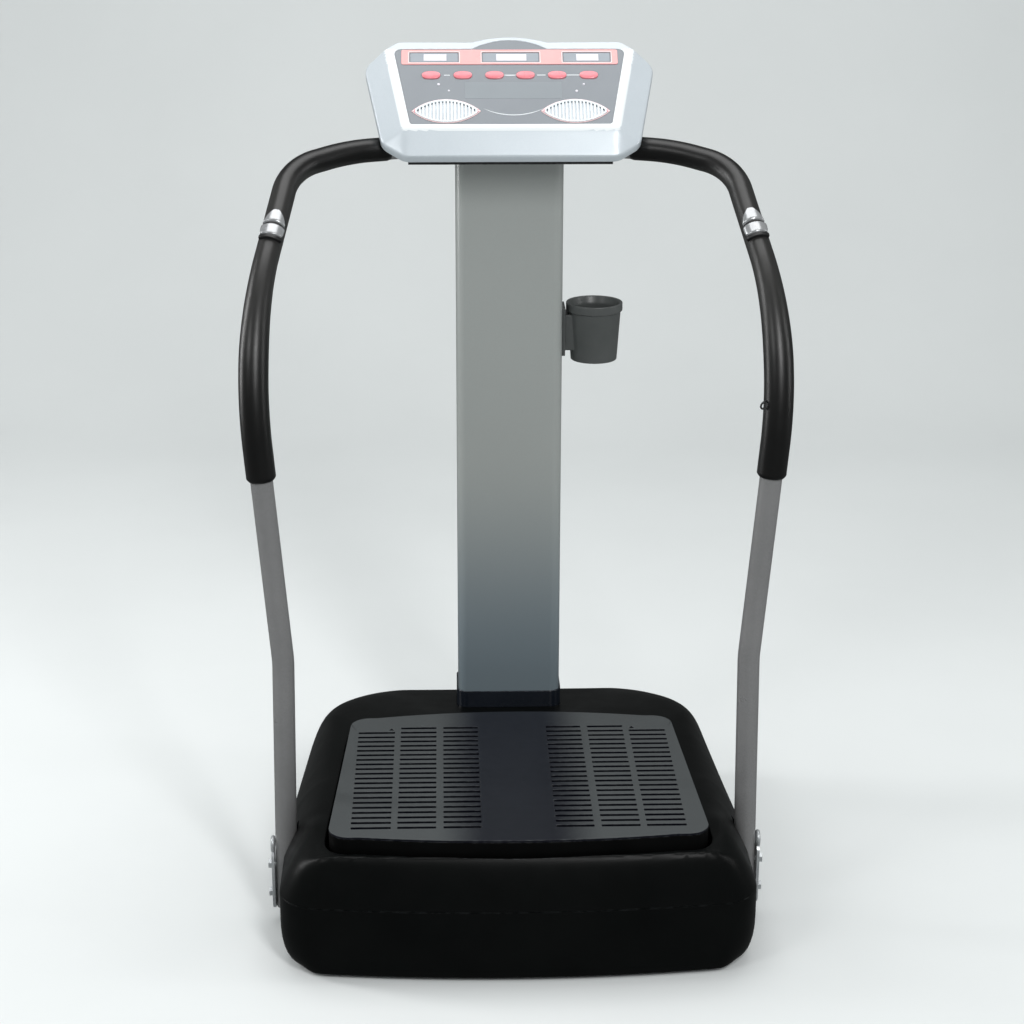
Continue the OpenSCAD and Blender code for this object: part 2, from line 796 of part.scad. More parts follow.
// Frame of the right pulse sensor: on the handle axis, +Z along the tube, +Y towards the user
sensor_z = unit(arm_path[3] - arm_path[2]);
sensor_y = unit(cross(cross(sensor_z, [-0.15, -1, 0.25]), sensor_z));
sensor_frame = frame_matrix(cross(sensor_y, sensor_z), sensor_y, sensor_z, arm_at(2, 1013));
module pulse_bases() {
    color(grip_black) mirrored() multmatrix(sensor_frame) difference() {
        intersection() {
            translate([0, 0, -26]) cylinder(r = 20.4, h = 52);
            rotate([-90, 0, 0]) linear_extrude(30) rounded_rect(39, 52, 17);
        }
        translate([0, 0, -30]) cylinder(r = sleeve_diameter / 2 + 0.1, h = 60);
    }
}
// Two half plates with a 2.6 mm gap between them
module pulse_plates_right() {
    color([0.85, 0.86, 0.88]) multmatrix(sensor_frame) for (z = [1.3, -31.3]) difference() {
        intersection() {
            translate([0, 0, -26]) cylinder(r = 23.4, h = 52);
            rotate([-90, 0, 0]) linear_extrude(30) rounded_rect(35, 47, 15);
            translate([-30, 0, z]) cube([60, 40, 30]);
        }
        translate([0, 0, -30]) cylinder(r = 20.5, h = 60);
    }
}
module pulse_plates_left() { mirror([1, 0, 0]) pulse_plates_right(); }
// Round-ended plates outside the handle feet, each with a ring on top
module foot_brackets() {
    inner_x = 357.1;
    thickness = 4;
    low = 34;
    high = 104;
    color([0.75, 0.76, 0.78]) mirrored() difference() {
        union() {
            translate([inner_x, foot_y - 13, low]) cube([thickness, 26, high - low]);
            for (z = [low, high])
                translate([0, foot_y, z]) x_rod(13, inner_x, inner_x + thickness);
            translate([inner_x + thickness / 2, foot_y, 124]) rotate([0, 90, 0])
                rotate_extrude($fn = 36) translate([10, 0]) circle(r = 2.9, $fn = 20);
        }
        arm_holes(bolt_hole, 350, 366);
    }
}

// ---------- cup holder ----------
module cup_holder() {
    cup_x = 133;
    cup_y = 262;
    inner_radius = 34.5;
    rim_z = 830;
    rim_height = 13;
    color([0.13, 0.13, 0.14]) difference() {
        union() {
            translate([cup_x, cup_y, 752]) cylinder(r1 = 36, r2 = 41.5, h = 82);
            translate([cup_x, cup_y, rim_z]) cylinder(r = cup_radius + 4, h = rim_height);
            translate([col_side, cup_y - 24, 762]) cube([5, 48, 76]);
            translate([col_side, cup_y - 20, 770]) cube([24, 40, 56]);
        }
        translate([cup_x, cup_y, 0]) {
            translate([0, 0, 755]) cylinder(r = inner_radius, h = rim_z - 755);
            translate([0, 0, rim_z]) cylinder(r1 = inner_radius, r2 = cup_radius, h = rim_height);
            translate([0, 0, rim_z + rim_height]) cylinder(r = cup_radius, h = 5);
            translate([0, 0, 740]) cylinder(r = 6, h = 20);
        }
    }
}

// ---------- console ----------
// Face frame: X across, Y up the tilted face, Z out of it
face_y = 135;
face_z = 1100;
lens_z = 13.1;
trim_z = 15.45; // underside of the parts on top of the lens
windows = [[-112.5, 75], [1.5, 87], [115, 73]]; // centre x, width
window_y = 162;
button_x = [-117, -70, -23, 23, 70, 117];
button_y = 128;
speaker_x = 95;
grille_y = 60;

module on_face() { translate([0, face_y, face_z]) rotate([face_tilt, 0, 0]) children(); }
module console_outline(inset) {
    // right half, from front to back
    right = [
        [157 - inset * 0.7, -4 + inset],
        [190 - inset, 17 + inset * 0.6],
        [215 - inset, 160 - inset * 0.2],
        [165 - inset * 0.6, 199 - inset]
    ];
    left = [for (i = [3:-1:0]) [-right[i][0], right[i][1]]];
    rounded_polygon(concat(right, left), [26, 26, 18, 16, 16, 18, 26, 26]);
    mirror([0, 1, 0]) bow(-199 + inset, 60, 10, -0.01 * inset);
}
module lens_outline(inset) {
    front_x = 148 - inset;
    back_x = 173 - inset * 1.15;
    front_y = 36 + inset;
    back_y = 178 - inset;
    rounded_polygon(
        [[-front_x, front_y], [front_x, front_y], [back_x, back_y], [-back_x, back_y]],
        [5, 5, 9, 9]);
    translate([0, -1]) mirror([0, 1, 0]) bow(-179 + inset, 56, 18, -0.01 * inset);
}
// Block above a sloping plane, turned to face one edge of the bezel
module edge_cut(place, turn, slope) {
    translate([place[0], place[1], 0]) rotate([0, 0, turn]) rotate([0, slope, 0])
        translate([-300, -400, 0]) cube([600, 800, 150]);
}
module console_bezel() {
    color([0.85, 0.87, 0.9]) on_face() difference() {
        translate([0, 0, -14]) linear_extrude(30) console_outline(0);
        mirrored() edge_cut([202.5, 88.5], -9.9, 24.8);
        edge_cut([0, -4], -90, 27.3);
        mirrored() edge_cut([173.5, 6.5], -57.5, 31.4);
        translate([0, 0, -15]) linear_extrude(12) console_outline(3);
        // well below the lens, narrower opening, and the lens seat
        translate([0, 0, -4]) linear_extrude(13) lens_outline(-3);
        translate([0, 0, 8]) linear_extrude(5) lens_outline(5);
        translate([0, 0, 12.9]) linear_extrude(10) lens_outline(0);
    }
}
// Lens shape between two arcs, pointed at both ends
module eye(width, height) {
    radius = (width * width / 4 + height * height / 4) / height;
    intersection() {
        translate([0, radius - height / 2]) circle(r = radius, $fn = 144);
        translate([0, height / 2 - radius]) circle(r = radius, $fn = 144);
    }
}
module pill(width, height) {
    square([width - height, height], center = true);
    for (side = [-1, 1])
        translate([side * (width - height) / 2, 0]) circle(r = height / 2, $fn = 32);
}
module console_lens() {
    color([0.42, 0.45, 0.48]) on_face() translate([0, 0, lens_z])
        linear_extrude(2.3) difference() {
            lens_outline(0.25);
            for (w = windows) translate([w[0], window_y]) square([w[1] - 4, 17], center = true);
            for (x = button_x) translate([x, button_y]) pill(27.9, 14.4);
            for (side = [-1, 1]) translate([side * speaker_x, grille_y]) eye(88, 36);
        }
}
module display_strip() {
    color([0.8, 0.12, 0.13]) on_face() translate([0, 0, trim_z])
        linear_extrude(0.9) difference() {
            translate([0, 162.5]) rounded_rect(322, 28, 3);
            for (w = windows) translate([w[0], window_y]) rounded_rect(w[1], 20.5, 1.5);
        }
}
module led_displays() {
    color([0.09, 0.1, 0.12]) on_face() for (w = windows)
        translate([w[0], window_y, 7.7]) linear_extrude(8)
            square([w[1] - 4.4, 16.6], center = true);
}
module console_board() {
    color(board_green) on_face() translate([0, 0, 6]) linear_extrude(1.6) difference() {
        translate([0, 138]) square([304, 66], center = true);
        for (x = [-147, 147], y = [109, 167]) translate([x, y]) circle(r = 1.8, $fn = 24);
    }
}
module speaker_grilles() {
    color([0.8, 0.82, 0.84]) on_face() for (side = [-1, 1])
        translate([side * speaker_x, grille_y, trim_z]) linear_extrude(1.8) difference() {
            eye(98, 42);
            intersection() {
                eye(90, 36);
                for (i = [-8:8]) translate([i * grille_pitch - 1.2, -30]) square([2.4, 60]);
            }
        }
}
module speakers() {
    color([0.1, 0.1, 0.1]) on_face() for (side = [-1, 1])
        translate([side * speaker_x, 64, 0]) difference() {
            union() {
                translate([0, 0, -3]) cylinder(r = 14, h = 9);
                translate([0, 0, 6]) cylinder(r1 = 15, r2 = 22, h = 4);
                translate([0, 0, 10]) cylinder(r = 22, h = 2.9);
            }
            translate([0, 0, 9]) cylinder(r1 = 10, r2 = 18, h = 4);
        }
}
// Y and Z of a point up the face and out of it
function face_point(up, out) = [
    face_y + up * cos(face_tilt) - out * sin(face_tilt),
    face_z + up * sin(face_tilt) + out * cos(face_tilt)
];
// Side view of the box behind the face
module rear_profile(inset) {
    rounded_polygon(
        [[160 + inset, 1066 + inset], [330 - inset, 1066 + inset],
            [330 - inset, 1176 - inset * 0.4],
            face_point(188 - inset, -13 - inset * 0.5), face_point(4 + inset, -13 - inset * 0.5)],
        [6, 10, 14, 0, 0]);
}
module console_rear() {
    color([0.05, 0.05, 0.055]) difference() {
        union() {
            on_face() translate([0, 0, -14]) linear_extrude(2.8) console_outline(3.4);
            extrude_x(322) rear_profile(0);
        }
        extrude_x(316) rear_profile(2.8);
        on_face() translate([0, 0, -16]) linear_extrude(8)
            rounded_polygon([[-140, 22], [140, 22], [152, 176], [-152, 176]], [8, 8, 8, 8]);
        // openings for the column, the head bracket plate and the handle tubes
        column_prism(1050, 40, 0.5);
        translate([-153, 175, 1060]) cube([306, 140, 18.2]);
        mirrored() bar(arm_path[4], arm_path[5], tube_radius + 2.2, 21.686);
    }
}
// Button cap with a wider flange under the lens
module button(index) {
    color([0.8, 0.1, 0.12]) on_face() translate([button_x[index], button_y, 0]) {
        translate([0, 0, 11]) linear_extrude(6.2) pill(27.3, 13.8);
        translate([0, 0, 9.4]) linear_extrude(2.6) pill(31, 17.4);
    }
}
module button_power() { button(0); }
module button_mode() { button(1); }
module button_time() { button(2); }
module button_faster() { button(3); }
module button_slower() { button(4); }
module button_stop() { button(5); }

// ---------- electrics ----------
module control_board() {
    parts_z = 27.7;
    color(board_green) {
        translate([-190, 110, 26]) cube([150, 84, 1.6]);
        for (x = [-184, -46], y = [116, 188])
            translate([x, y, 16.55]) cylinder(r = 3, h = 9.4, $fn = 24);
    }
    // slotted block
    color(bolt_steel) translate([-180, 118, parts_z]) difference() {
        cube([60, 30, 26]);
        for (i = [0:6]) translate([5 + i * 8, -1, 5]) cube([4, 32, 30]);
    }
    // two upright cylinders
    color([0.1, 0.12, 0.3])
        for (x = [-90, -62]) translate([x, 140, parts_z]) cylinder(r = 11, h = 34);
}
module power_inlet() {
    color(socket_black) difference() {
        union() {
            rear_box(inlet_x, 322, 28.1, inlet_body);
            rear_extrude(inlet_x, base_rear + 0.05, 2.5) rounded_rect(58, 36, 5);
        }
        rear_extrude(inlet_x, 330, 30) rounded_rect(40, 21, 4);
    }
    color([0.8, 0.75, 0.5])
        for (x = [-7, 0, 7]) translate([inlet_x + x - 1, 329.5, 66]) cube([2, 16, 6]);
}
rocker_y = 344; // axis of the rocker
module switch_housing() {
    color(socket_black) difference() {
        union() {
            rear_box(switch_x, 326, 24.1, switch_body);
            rear_extrude(switch_x, base_rear + 0.05, 2) rounded_rect(36, 30, 3);
        }
        rear_box(switch_x, 330, 30, [18.4, 21]);
        translate([switch_x, rocker_y, rear_z]) x_rod(3.05, -10.6, 10.6);
    }
}
module rocker_switch() {
    // y, height above the axis
    rocker_profile = [
        [338, -3.5], [338, 3.5], [347, 8.6], [353.2, 8.8],
        [351.6, 0], [353.2, -8.8], [347, -8.6]
    ];
    color([0.75, 0.08, 0.08]) translate([switch_x, 0, rear_z]) {
        extrude_x(17.6) polygon(rocker_profile);
        translate([0, rocker_y, 0]) x_rod(3, -10.5, 10.5);
    }
}

lower_shell();
upper_shell();
bottom_cover();
base_frame();
rubber_feet();
motor_housing();
motor_end_caps();
motor_stator();
motor_mount();
drive_belt();
bearing_blocks();
pivot_blocks();
control_board();
power_inlet();
switch_housing();
column();
column_socket();
column_collar();
frame_bolts();
head_bracket();
arm_left();
arm_right();
grip_left();
grip_right();
pulse_bases();
pulse_plates_left();
pulse_plates_right();
foot_brackets();
cup_holder();
console_rear();
console_bezel();
console_lens();
display_strip();
led_displays();
console_board();
speaker_grilles();
speakers();
plate_tread();
plate_board();
plate_skirt();
plate_frame();
pivot_pins();
crank_shaft();
eccentrics();
crank_pulley();
rotor_shaft();
rotor_core();
motor_pulley();
rod_left();
rod_right();
button_power();
button_mode();
button_time();
button_faster();
button_slower();
button_stop();
rocker_switch();
wheel_left();
wheel_right();
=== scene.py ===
# A vibration platform: a moulded base with a standing plate, a column with a tilted console,
# and two bent handles with foam grips and pulse sensors.
# It stands on z = 0 with its front towards -Y and its left towards -X. Shapes are worked out
# in millimetres; mesh_object turns them into metres. Materials, lights and camera use metres.
import bpy, bmesh, math
from functools import partial
from mathutils import Matrix, Quaternion, Vector, noise


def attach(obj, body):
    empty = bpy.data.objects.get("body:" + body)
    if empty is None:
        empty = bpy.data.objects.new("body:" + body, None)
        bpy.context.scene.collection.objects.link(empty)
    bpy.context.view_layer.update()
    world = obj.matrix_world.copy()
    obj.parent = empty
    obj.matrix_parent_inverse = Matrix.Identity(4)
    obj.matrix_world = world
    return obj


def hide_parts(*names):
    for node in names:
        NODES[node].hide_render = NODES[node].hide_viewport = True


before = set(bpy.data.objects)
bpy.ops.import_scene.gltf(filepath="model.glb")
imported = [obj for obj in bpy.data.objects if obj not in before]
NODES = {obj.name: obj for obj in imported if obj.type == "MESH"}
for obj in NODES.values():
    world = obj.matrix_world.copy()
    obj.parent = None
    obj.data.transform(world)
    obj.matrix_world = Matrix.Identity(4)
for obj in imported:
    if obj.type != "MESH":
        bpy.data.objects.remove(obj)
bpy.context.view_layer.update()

MM = 0.001

KEY_X = {"power": -117, "mode": -70, "time": -23, "faster": 23, "slower": 70, "stop": 117}
SIDES = ((-1, "left"), (1, "right"))


# ------------------------------------------------------------------ materials
def add_node(tree, kind, inputs=None, **settings):
    """Adds a node; each input is given a value or linked to a socket."""
    node = tree.nodes.new(kind)
    for key, value in settings.items():
        setattr(node, key, value)
    for key, value in (inputs or {}).items():
        if isinstance(value, bpy.types.NodeSocket):
            tree.links.new(value, node.inputs[key])
        else:
            node.inputs[key].default_value = value
    return node


def material(name, base, alt, rough, metal=0.0, cloud=14.0, grain=900.0, bump=0.05, pits=None,
             wear=None, coat=0.0, spec=0.5, streak=None, grade=(), emit=0.0, flake=0.0):
    """A material in object space.

    base, alt: the two colours mixed in clouds of scale cloud; rough: the roughness range.
    grain, streak: scale of the fine noise, or stretch of the brushed streaks used instead of it.
    pits: (strength, scale) of pitting; wear: colour of worn edges; flake: metal flake strength.
    grade: (axis, from, to, tint) rows; a lower-case axis measures the distance from its zero.
    """
    mat = bpy.data.materials.new(name)
    mat.use_nodes = True
    tree = mat.node_tree
    tree.nodes.clear()
    add = partial(add_node, tree)
    place = add("ShaderNodeTexCoord").outputs["Object"]

    def noise_at(scale, detail, roughness=0.5, vector=place):
        return add("ShaderNodeTexNoise", {"Scale": scale, "Detail": detail, "Vector": vector,
                                          "Roughness": roughness}).outputs["Fac"]

    def remap(value, low, high, to_low=0.0, to_high=1.0, **settings):
        return add("ShaderNodeMapRange", {"Value": value, "From Min": low, "From Max": high,
                                          "To Min": to_low, "To Max": to_high},
                   **settings).outputs[0]

    def mix(factor, first, second, **settings):
        return add("ShaderNodeMix", {"Factor": factor, "A": first, "B": second},
                   data_type="RGBA", **settings).outputs["Result"]

    def voronoi(scale, output):
        return add("ShaderNodeTexVoronoi", {"Scale": scale, "Vector": place}).outputs[output]

    def bumped(strength, height, **inputs):
        return add("ShaderNodeBump", {"Strength": strength, "Distance": 0.0006,
                                      "Height": height, **inputs}).outputs[0]

    clouds = remap(noise_at(cloud, detail=5, roughness=0.55), low=0.32, high=0.68)
    colour = mix(clouds, (*base, 1), (*alt, 1))
    if flake:
        speckle = add("ShaderNodeRGBToBW", {0: voronoi(2600, "Color")}).outputs[0]
        colour = mix(flake, colour, speckle, blend_type="SOFT_LIGHT")
    for axis, low, high, tint in grade:
        split = add("ShaderNodeSeparateXYZ", {0: place})
        coord = split.outputs["XYZ".index(axis.upper())]
        if axis.islower():
            coord = add("ShaderNodeMath", {0: coord}, operation="ABSOLUTE").outputs[0]
        fade = remap(coord, low, high, interpolation_type="SMOOTHSTEP")
        colour = mix(fade, colour, (*tint, 1))
    if wear:
        # edges are where the bevelled normal leaves the true one; noise breaks them up
        bevel = add("ShaderNodeBevel", {"Radius": 0.0022}, samples=3)
        normal = add("ShaderNodeNewGeometry").outputs["Normal"]
        dot = add("ShaderNodeVectorMath", {0: bevel.outputs[0], 1: normal},
                  operation="DOT_PRODUCT")
        edges = remap(dot.outputs["Value"], low=0.985, high=0.86)
        patches = remap(noise_at(120, detail=6), low=0.42, high=0.62)
        worn = add("ShaderNodeMath", {0: edges, 1: patches}, operation="MULTIPLY").outputs[0]
        colour = mix(worn, colour, (*wear, 1))

    smudges = noise_at(cloud * 2.7, detail=7, roughness=0.65)
    roughness = remap(smudges, low=0.3, high=0.7, to_low=rough[0], to_high=rough[1])
    if streak:
        stretched = add("ShaderNodeMapping", {"Scale": streak, "Vector": place}).outputs[0]
        height = noise_at(1.0, detail=4, vector=stretched)
    else:
        height = noise_at(grain, detail=3)
    normal = bumped(bump, height)
    if pits:
        strength, scale = pits
        normal = bumped(strength, voronoi(scale, "Distance"), Normal=normal)

    surface = {"Base Color": colour, "Roughness": roughness, "Normal": normal,
               "Metallic": metal, "Specular IOR Level": spec,
               "Coat Weight": coat, "Coat Roughness": 0.12}
    if emit:
        surface.update({"Emission Color": colour, "Emission Strength": emit})
    shader = add("ShaderNodeBsdfPrincipled", surface)
    add("ShaderNodeOutputMaterial", {0: shader.outputs[0]})
    return mat


# The first four arguments are name, base colour, second colour and roughness range.
# "lens_pale" and "brass" are spare: no piece wears them.
MAT = {
    "shell": material("shell_black", (0.0016, 0.0021, 0.0021), (0.0026, 0.0032, 0.0031),
        (0.33, 0.42), cloud=9, grain=1300, bump=0.12, pits=(0.05, 900),
        wear=(0.02, 0.022, 0.023), spec=0.16),
    # tread: the second grade row tints everything below the top face dark blue-black, which is
    # painted shade in the slots and along the edges
    "tread": material("tread_grey", (0.0068, 0.0078, 0.0128), (0.0092, 0.0102, 0.0156),
        (0.32, 0.40), cloud=8, grain=1500, bump=0.10, wear=(0.09, 0.095, 0.10), spec=0.27,
        grade=[("x", 0.045, 0.125, (0.068, 0.074, 0.076)),
               ("Z", 0.2099, 0.2091, (0.0030, 0.0032, 0.0075))]),
    "skirt": material("skirt_black", (0.0012, 0.0013, 0.0013), (0.0022, 0.0023, 0.0023),
        (0.42, 0.52), bump=0.10, wear=(0.015, 0.015, 0.015), spec=0.12),
    "board": material("board_black", (0.0045, 0.0050, 0.0085), (0.007, 0.0075, 0.012),
        (0.35, 0.5), bump=0.08, spec=0.2),
    "frame": material("frame_paint", (0.020, 0.020, 0.022), (0.028, 0.028, 0.03),
        (0.38, 0.55), bump=0.18, grain=600, wear=(0.25, 0.25, 0.26)),
    "rubber": material("rubber_black", (0.012, 0.012, 0.012), (0.022, 0.021, 0.020),
        (0.62, 0.82), bump=0.35, grain=700, wear=(0.06, 0.06, 0.06), spec=0.3),
    # column: the grade row darkens the lower column towards the base, a painted reflection of the
    # dark base below it
    "column": material("column_paint", (0.330, 0.348, 0.338), (0.340, 0.358, 0.348),
        (0.285, 0.305), metal=0.08, cloud=3, grain=1600, bump=0.012, flake=0.10, coat=0.15,
        grade=[("Z", 0.62, 0.24, (0.175, 0.215, 0.240))]),
    "tube": material("tube_paint", (0.225, 0.224, 0.226), (0.250, 0.248, 0.250),
        (0.27, 0.34), metal=0.30, cloud=11, grain=1600, bump=0.04, flake=0.35,
        wear=(0.5, 0.5, 0.5), coat=0.2),
    "collar": material("collar_dark", (0.0055, 0.0080, 0.0130), (0.0085, 0.0115, 0.0175),
        (0.18, 0.28), bump=0.05, coat=0.3, wear=(0.06, 0.07, 0.09)),
    "foam": material("foam_black", (0.0024, 0.0024, 0.0024), (0.0034, 0.0034, 0.0033),
        (0.34, 0.38), cloud=26, grain=1700, bump=0.08, pits=(0.07, 1700), spec=0.56,
        grade=[("Z", 0.84, 0.97, (0.0200, 0.0196, 0.0188)),
               ("Z", 1.066, 1.086, (0.0030, 0.0028, 0.0028))]),
    "chrome": material("contact_chrome", (0.46, 0.47, 0.48), (0.40, 0.41, 0.42),
        (0.20, 0.28), metal=0.55, cloud=40, bump=0.02, streak=(60, 60, 2400), spec=0.7),
    "zinc": material("zinc_plate", (0.62, 0.65, 0.66), (0.48, 0.50, 0.52), (0.25, 0.40),
        metal=0.55, cloud=90, grain=500, bump=0.10, wear=(0.80, 0.82, 0.84)),
    "steel": material("steel_turned", (0.42, 0.42, 0.43), (0.50, 0.50, 0.51), (0.2, 0.36),
        metal=1.0, cloud=40, bump=0.1, streak=(3000, 30, 30)),
    "cast": material("cast_grey", (0.09, 0.092, 0.097), (0.13, 0.132, 0.135), (0.55, 0.75),
        metal=0.4, cloud=40, grain=350, bump=0.45),
    "motor": material("motor_paint", (0.11, 0.115, 0.12), (0.14, 0.145, 0.15), (0.35, 0.5),
        metal=0.1, bump=0.12, wear=(0.35, 0.35, 0.35)),
    "copper": material("winding_copper", (0.42, 0.16, 0.055), (0.55, 0.23, 0.09),
        (0.3, 0.45), metal=0.9, bump=0.3, streak=(1800, 30, 1800)),
    "belt": material("belt_rubber", (0.013, 0.013, 0.013), (0.02, 0.02, 0.02), (0.55, 0.7),
        bump=0.3, streak=(2200, 20, 20)),
    "pcb": material("circuit_board", (0.012, 0.075, 0.03), (0.02, 0.11, 0.045), (0.3, 0.45),
        bump=0.2, grain=260, coat=0.3),
    "cup": material("cup_grey", (0.062, 0.067, 0.066), (0.076, 0.081, 0.080), (0.30, 0.42),
        cloud=20, grain=1300, bump=0.10, wear=(0.13, 0.135, 0.135), spec=0.5),
    # Console colours from the bezel to the ticks are the parts' own colours lightened to a
    # washed-out look: a painted sheen of the bright reflection on the face
    "bezel": material("bezel_silver", (0.54, 0.590, 0.630), (0.575, 0.625, 0.665),
        (0.30, 0.38), metal=0.12, cloud=7, grain=1800, bump=0.03, flake=0.20,
        wear=(0.85, 0.87, 0.88), coat=0.25),
    # rim: the flat rim round the lens is coloured lighter than the bezel, a painted highlight
    "rim": material("rim_bright", (0.74, 0.775, 0.79), (0.78, 0.815, 0.83), (0.26, 0.34),
        metal=0.05, cloud=9, bump=0.02, coat=0.3),
    "lens": material("lens_grey", (0.150, 0.172, 0.196), (0.170, 0.192, 0.216),
        (0.16, 0.24), cloud=9, grain=1800, bump=0.02, coat=0.45),
    "lens_pale": material("lens_pale", (0.270, 0.330, 0.370), (0.29, 0.35, 0.39),
        (0.2, 0.28), cloud=9, bump=0.02, coat=0.4),
    "panel": material("panel_patch", (0.182, 0.210, 0.232), (0.196, 0.226, 0.248),
        (0.2, 0.28), cloud=9, bump=0.02, coat=0.3),
    "strip": material("strip_red", (0.83, 0.330, 0.325), (0.87, 0.37, 0.365), (0.22, 0.3),
        cloud=14, bump=0.02, coat=0.4),
    "outline": material("outline_pink", (0.90, 0.62, 0.62), (0.93, 0.68, 0.68),
        (0.25, 0.32), bump=0.02, coat=0.3),
    "button": material("button_red", (0.80, 0.205, 0.245), (0.85, 0.25, 0.29),
        (0.25, 0.35), cloud=60, bump=0.05, coat=0.35, wear=(0.9, 0.55, 0.55)),
    "led": material("window_dark", (0.215, 0.250, 0.290), (0.240, 0.275, 0.315),
        (0.08, 0.14), cloud=30, bump=0.01, coat=0.6),
    "digit": material("digit_pale", (0.66, 0.64, 0.70), (0.72, 0.70, 0.76), (0.2, 0.3),
        cloud=120, bump=0.02, coat=0.3, emit=0.06),
    "segment": material("segment_pale", (0.86, 0.83, 0.90), (0.9, 0.88, 0.94), (0.2, 0.3),
        cloud=120, bump=0.01, emit=0.12),
    "grille": material("grille_silver", (0.60, 0.64, 0.67), (0.66, 0.70, 0.73),
        (0.22, 0.30), metal=0.15, cloud=18, bump=0.03, coat=0.3, wear=(0.9, 0.92, 0.93)),
    "tick": material("tick_pale", (0.66, 0.70, 0.72), (0.72, 0.76, 0.78), (0.25, 0.35),
        cloud=80, bump=0.02),
    "black": material("electric_black", (0.008, 0.008, 0.0085), (0.013, 0.013, 0.0135),
        (0.32, 0.45), bump=0.14, wear=(0.06, 0.06, 0.06)),
    "rear": material("rear_cover_grey", (0.10, 0.103, 0.108), (0.125, 0.128, 0.133),
        (0.36, 0.48), bump=0.14, wear=(0.22, 0.22, 0.22)),
    # speaker cloth: its pale colour and its glow are painted light that lifts the shade behind
    # the grille slots
    "cloth": material("speaker_cloth", (0.66, 0.70, 0.73), (0.74, 0.78, 0.81), (0.6, 0.75),
        cloud=40, grain=2200, bump=0.3, emit=0.22),
    "brass": material("inlet_pins", (0.6, 0.42, 0.16), (0.66, 0.48, 0.2), (0.2, 0.3),
        metal=1.0, bump=0.05),
}


# ------------------------------------------------------------------ mesh helpers
def link_object(name, data):
    obj = bpy.data.objects.new(name, data)
    bpy.context.scene.collection.objects.link(obj)
    return obj


def tidy_mesh(mesh, merge=False):
    """Points the normals outwards, after merging coincident points if asked to."""
    bm = bmesh.new()
    bm.from_mesh(mesh)
    if merge:
        bmesh.ops.remove_doubles(bm, verts=bm.verts, dist=1e-6)
    bmesh.ops.recalc_face_normals(bm, faces=bm.faces)
    bm.to_mesh(mesh)
    bm.free()


def shade(mesh, sharp_angle):
    """Shades smooth except across edges sharper than the angle in degrees."""
    for face in mesh.polygons:
        face.use_smooth = True
    mesh.set_sharp_from_angle(angle=math.radians(sharp_angle))


def mesh_object(name, verts, faces, finish, smooth):
    mesh = bpy.data.meshes.new(name)
    mesh.from_pydata([tuple(c * MM for c in vert) for vert in verts], [], faces)
    tidy_mesh(mesh)
    shade(mesh, smooth)
    mesh.materials.append(MAT[finish])
    return link_object(name, mesh)


def skin(name, rings, finish, smooth, ends="cap"):
    """A skin through rings of equal point counts.

    ends: "cap" closes both ends, "join" links the last ring to the first, "open" does neither.
    """
    n = len(rings[0])
    last = (len(rings) - 1) * n
    faces = []
    for row in range(0, last, n):
        for i in range(n):
            j = (i + 1) % n
            faces.append((row + i, row + j, row + n + j, row + n + i))
    if ends == "cap":
        faces += [tuple(range(n - 1, -1, -1)), tuple(range(last, last + n))]
    elif ends == "join":
        faces += [(last + i, last + (i + 1) % n, (i + 1) % n, i) for i in range(n)]
    return mesh_object(name, [point for ring in rings for point in ring], faces, finish, smooth)


def register(obj, replaces=None, body="base"):
    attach(obj, body)
    if replaces:
        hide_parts(replaces)


def ease(start, end, x):
    """Smooth step from 0 at start to 1 at end."""
    k = max(0.0, min(1.0, (x - start) / (end - start)))
    return k * k * (3 - 2 * k)


# ------------------------------------------------------------------ paths and outlines
def centre_line(points, radii, step):
    """Points about one step apart along a path with arcs of the given radii at its corners."""
    bent = [points[0].copy()]
    for i in range(1, len(points) - 1):
        corner, radius = points[i], radii[i]
        before = (points[i - 1] - corner).normalized()
        after = (points[i + 1] - corner).normalized()
        half = math.acos(max(-1, min(1, before.dot(after)))) / 2
        reach = radius / math.tan(half)
        centre = corner + (before + after).normalized() * radius / math.sin(half)
        start = (corner + before * reach - centre).normalized()
        end = (corner + after * reach - centre).normalized()
        turn = start.angle(end)
        axis = start.cross(end).normalized()
        count = max(4, int(radius * turn / step))
        for j in range(count + 1):
            spin = Matrix.Rotation(turn * j / count, 3, axis)
            bent.append(centre + (spin @ start) * radius)
    bent.append(points[-1].copy())

    line = [bent[0]]
    for point in bent[1:]:
        start = line[-1]
        length = (point - start).length
        if length < 0.05:
            continue
        count = max(1, int(round(length / step)))
        for j in range(1, count + 1):
            line.append(start + (point - start) * j / count)
    return line


def frames(line, up):
    """Tangent, side and normal at each point, carried along without twist."""
    last = len(line) - 1
    tangents = [(line[min(i + 1, last)] - line[max(i - 1, 0)]).normalized()
                for i in range(len(line))]
    normal = (up - tangents[0] * up.dot(tangents[0])).normalized()
    result = []
    for tangent in tangents:
        normal = (normal - tangent * normal.dot(tangent)).normalized()
        result.append((tangent, tangent.cross(normal), normal))
    return result


def tube_ring(centre, axes, radius, sides, mirror=1, relief=None):
    """A ring around a centre line; relief(angle, direction) is added to the radius."""
    _, across, normal = axes
    ring = []
    for k in range(sides):
        angle = 2 * math.pi * k / sides
        away = across * math.cos(angle) + normal * math.sin(angle)
        point = centre + away * (radius + (relief(angle, away) if relief else 0.0))
        ring.append((point.x * mirror, point.y, point.z))
    return ring


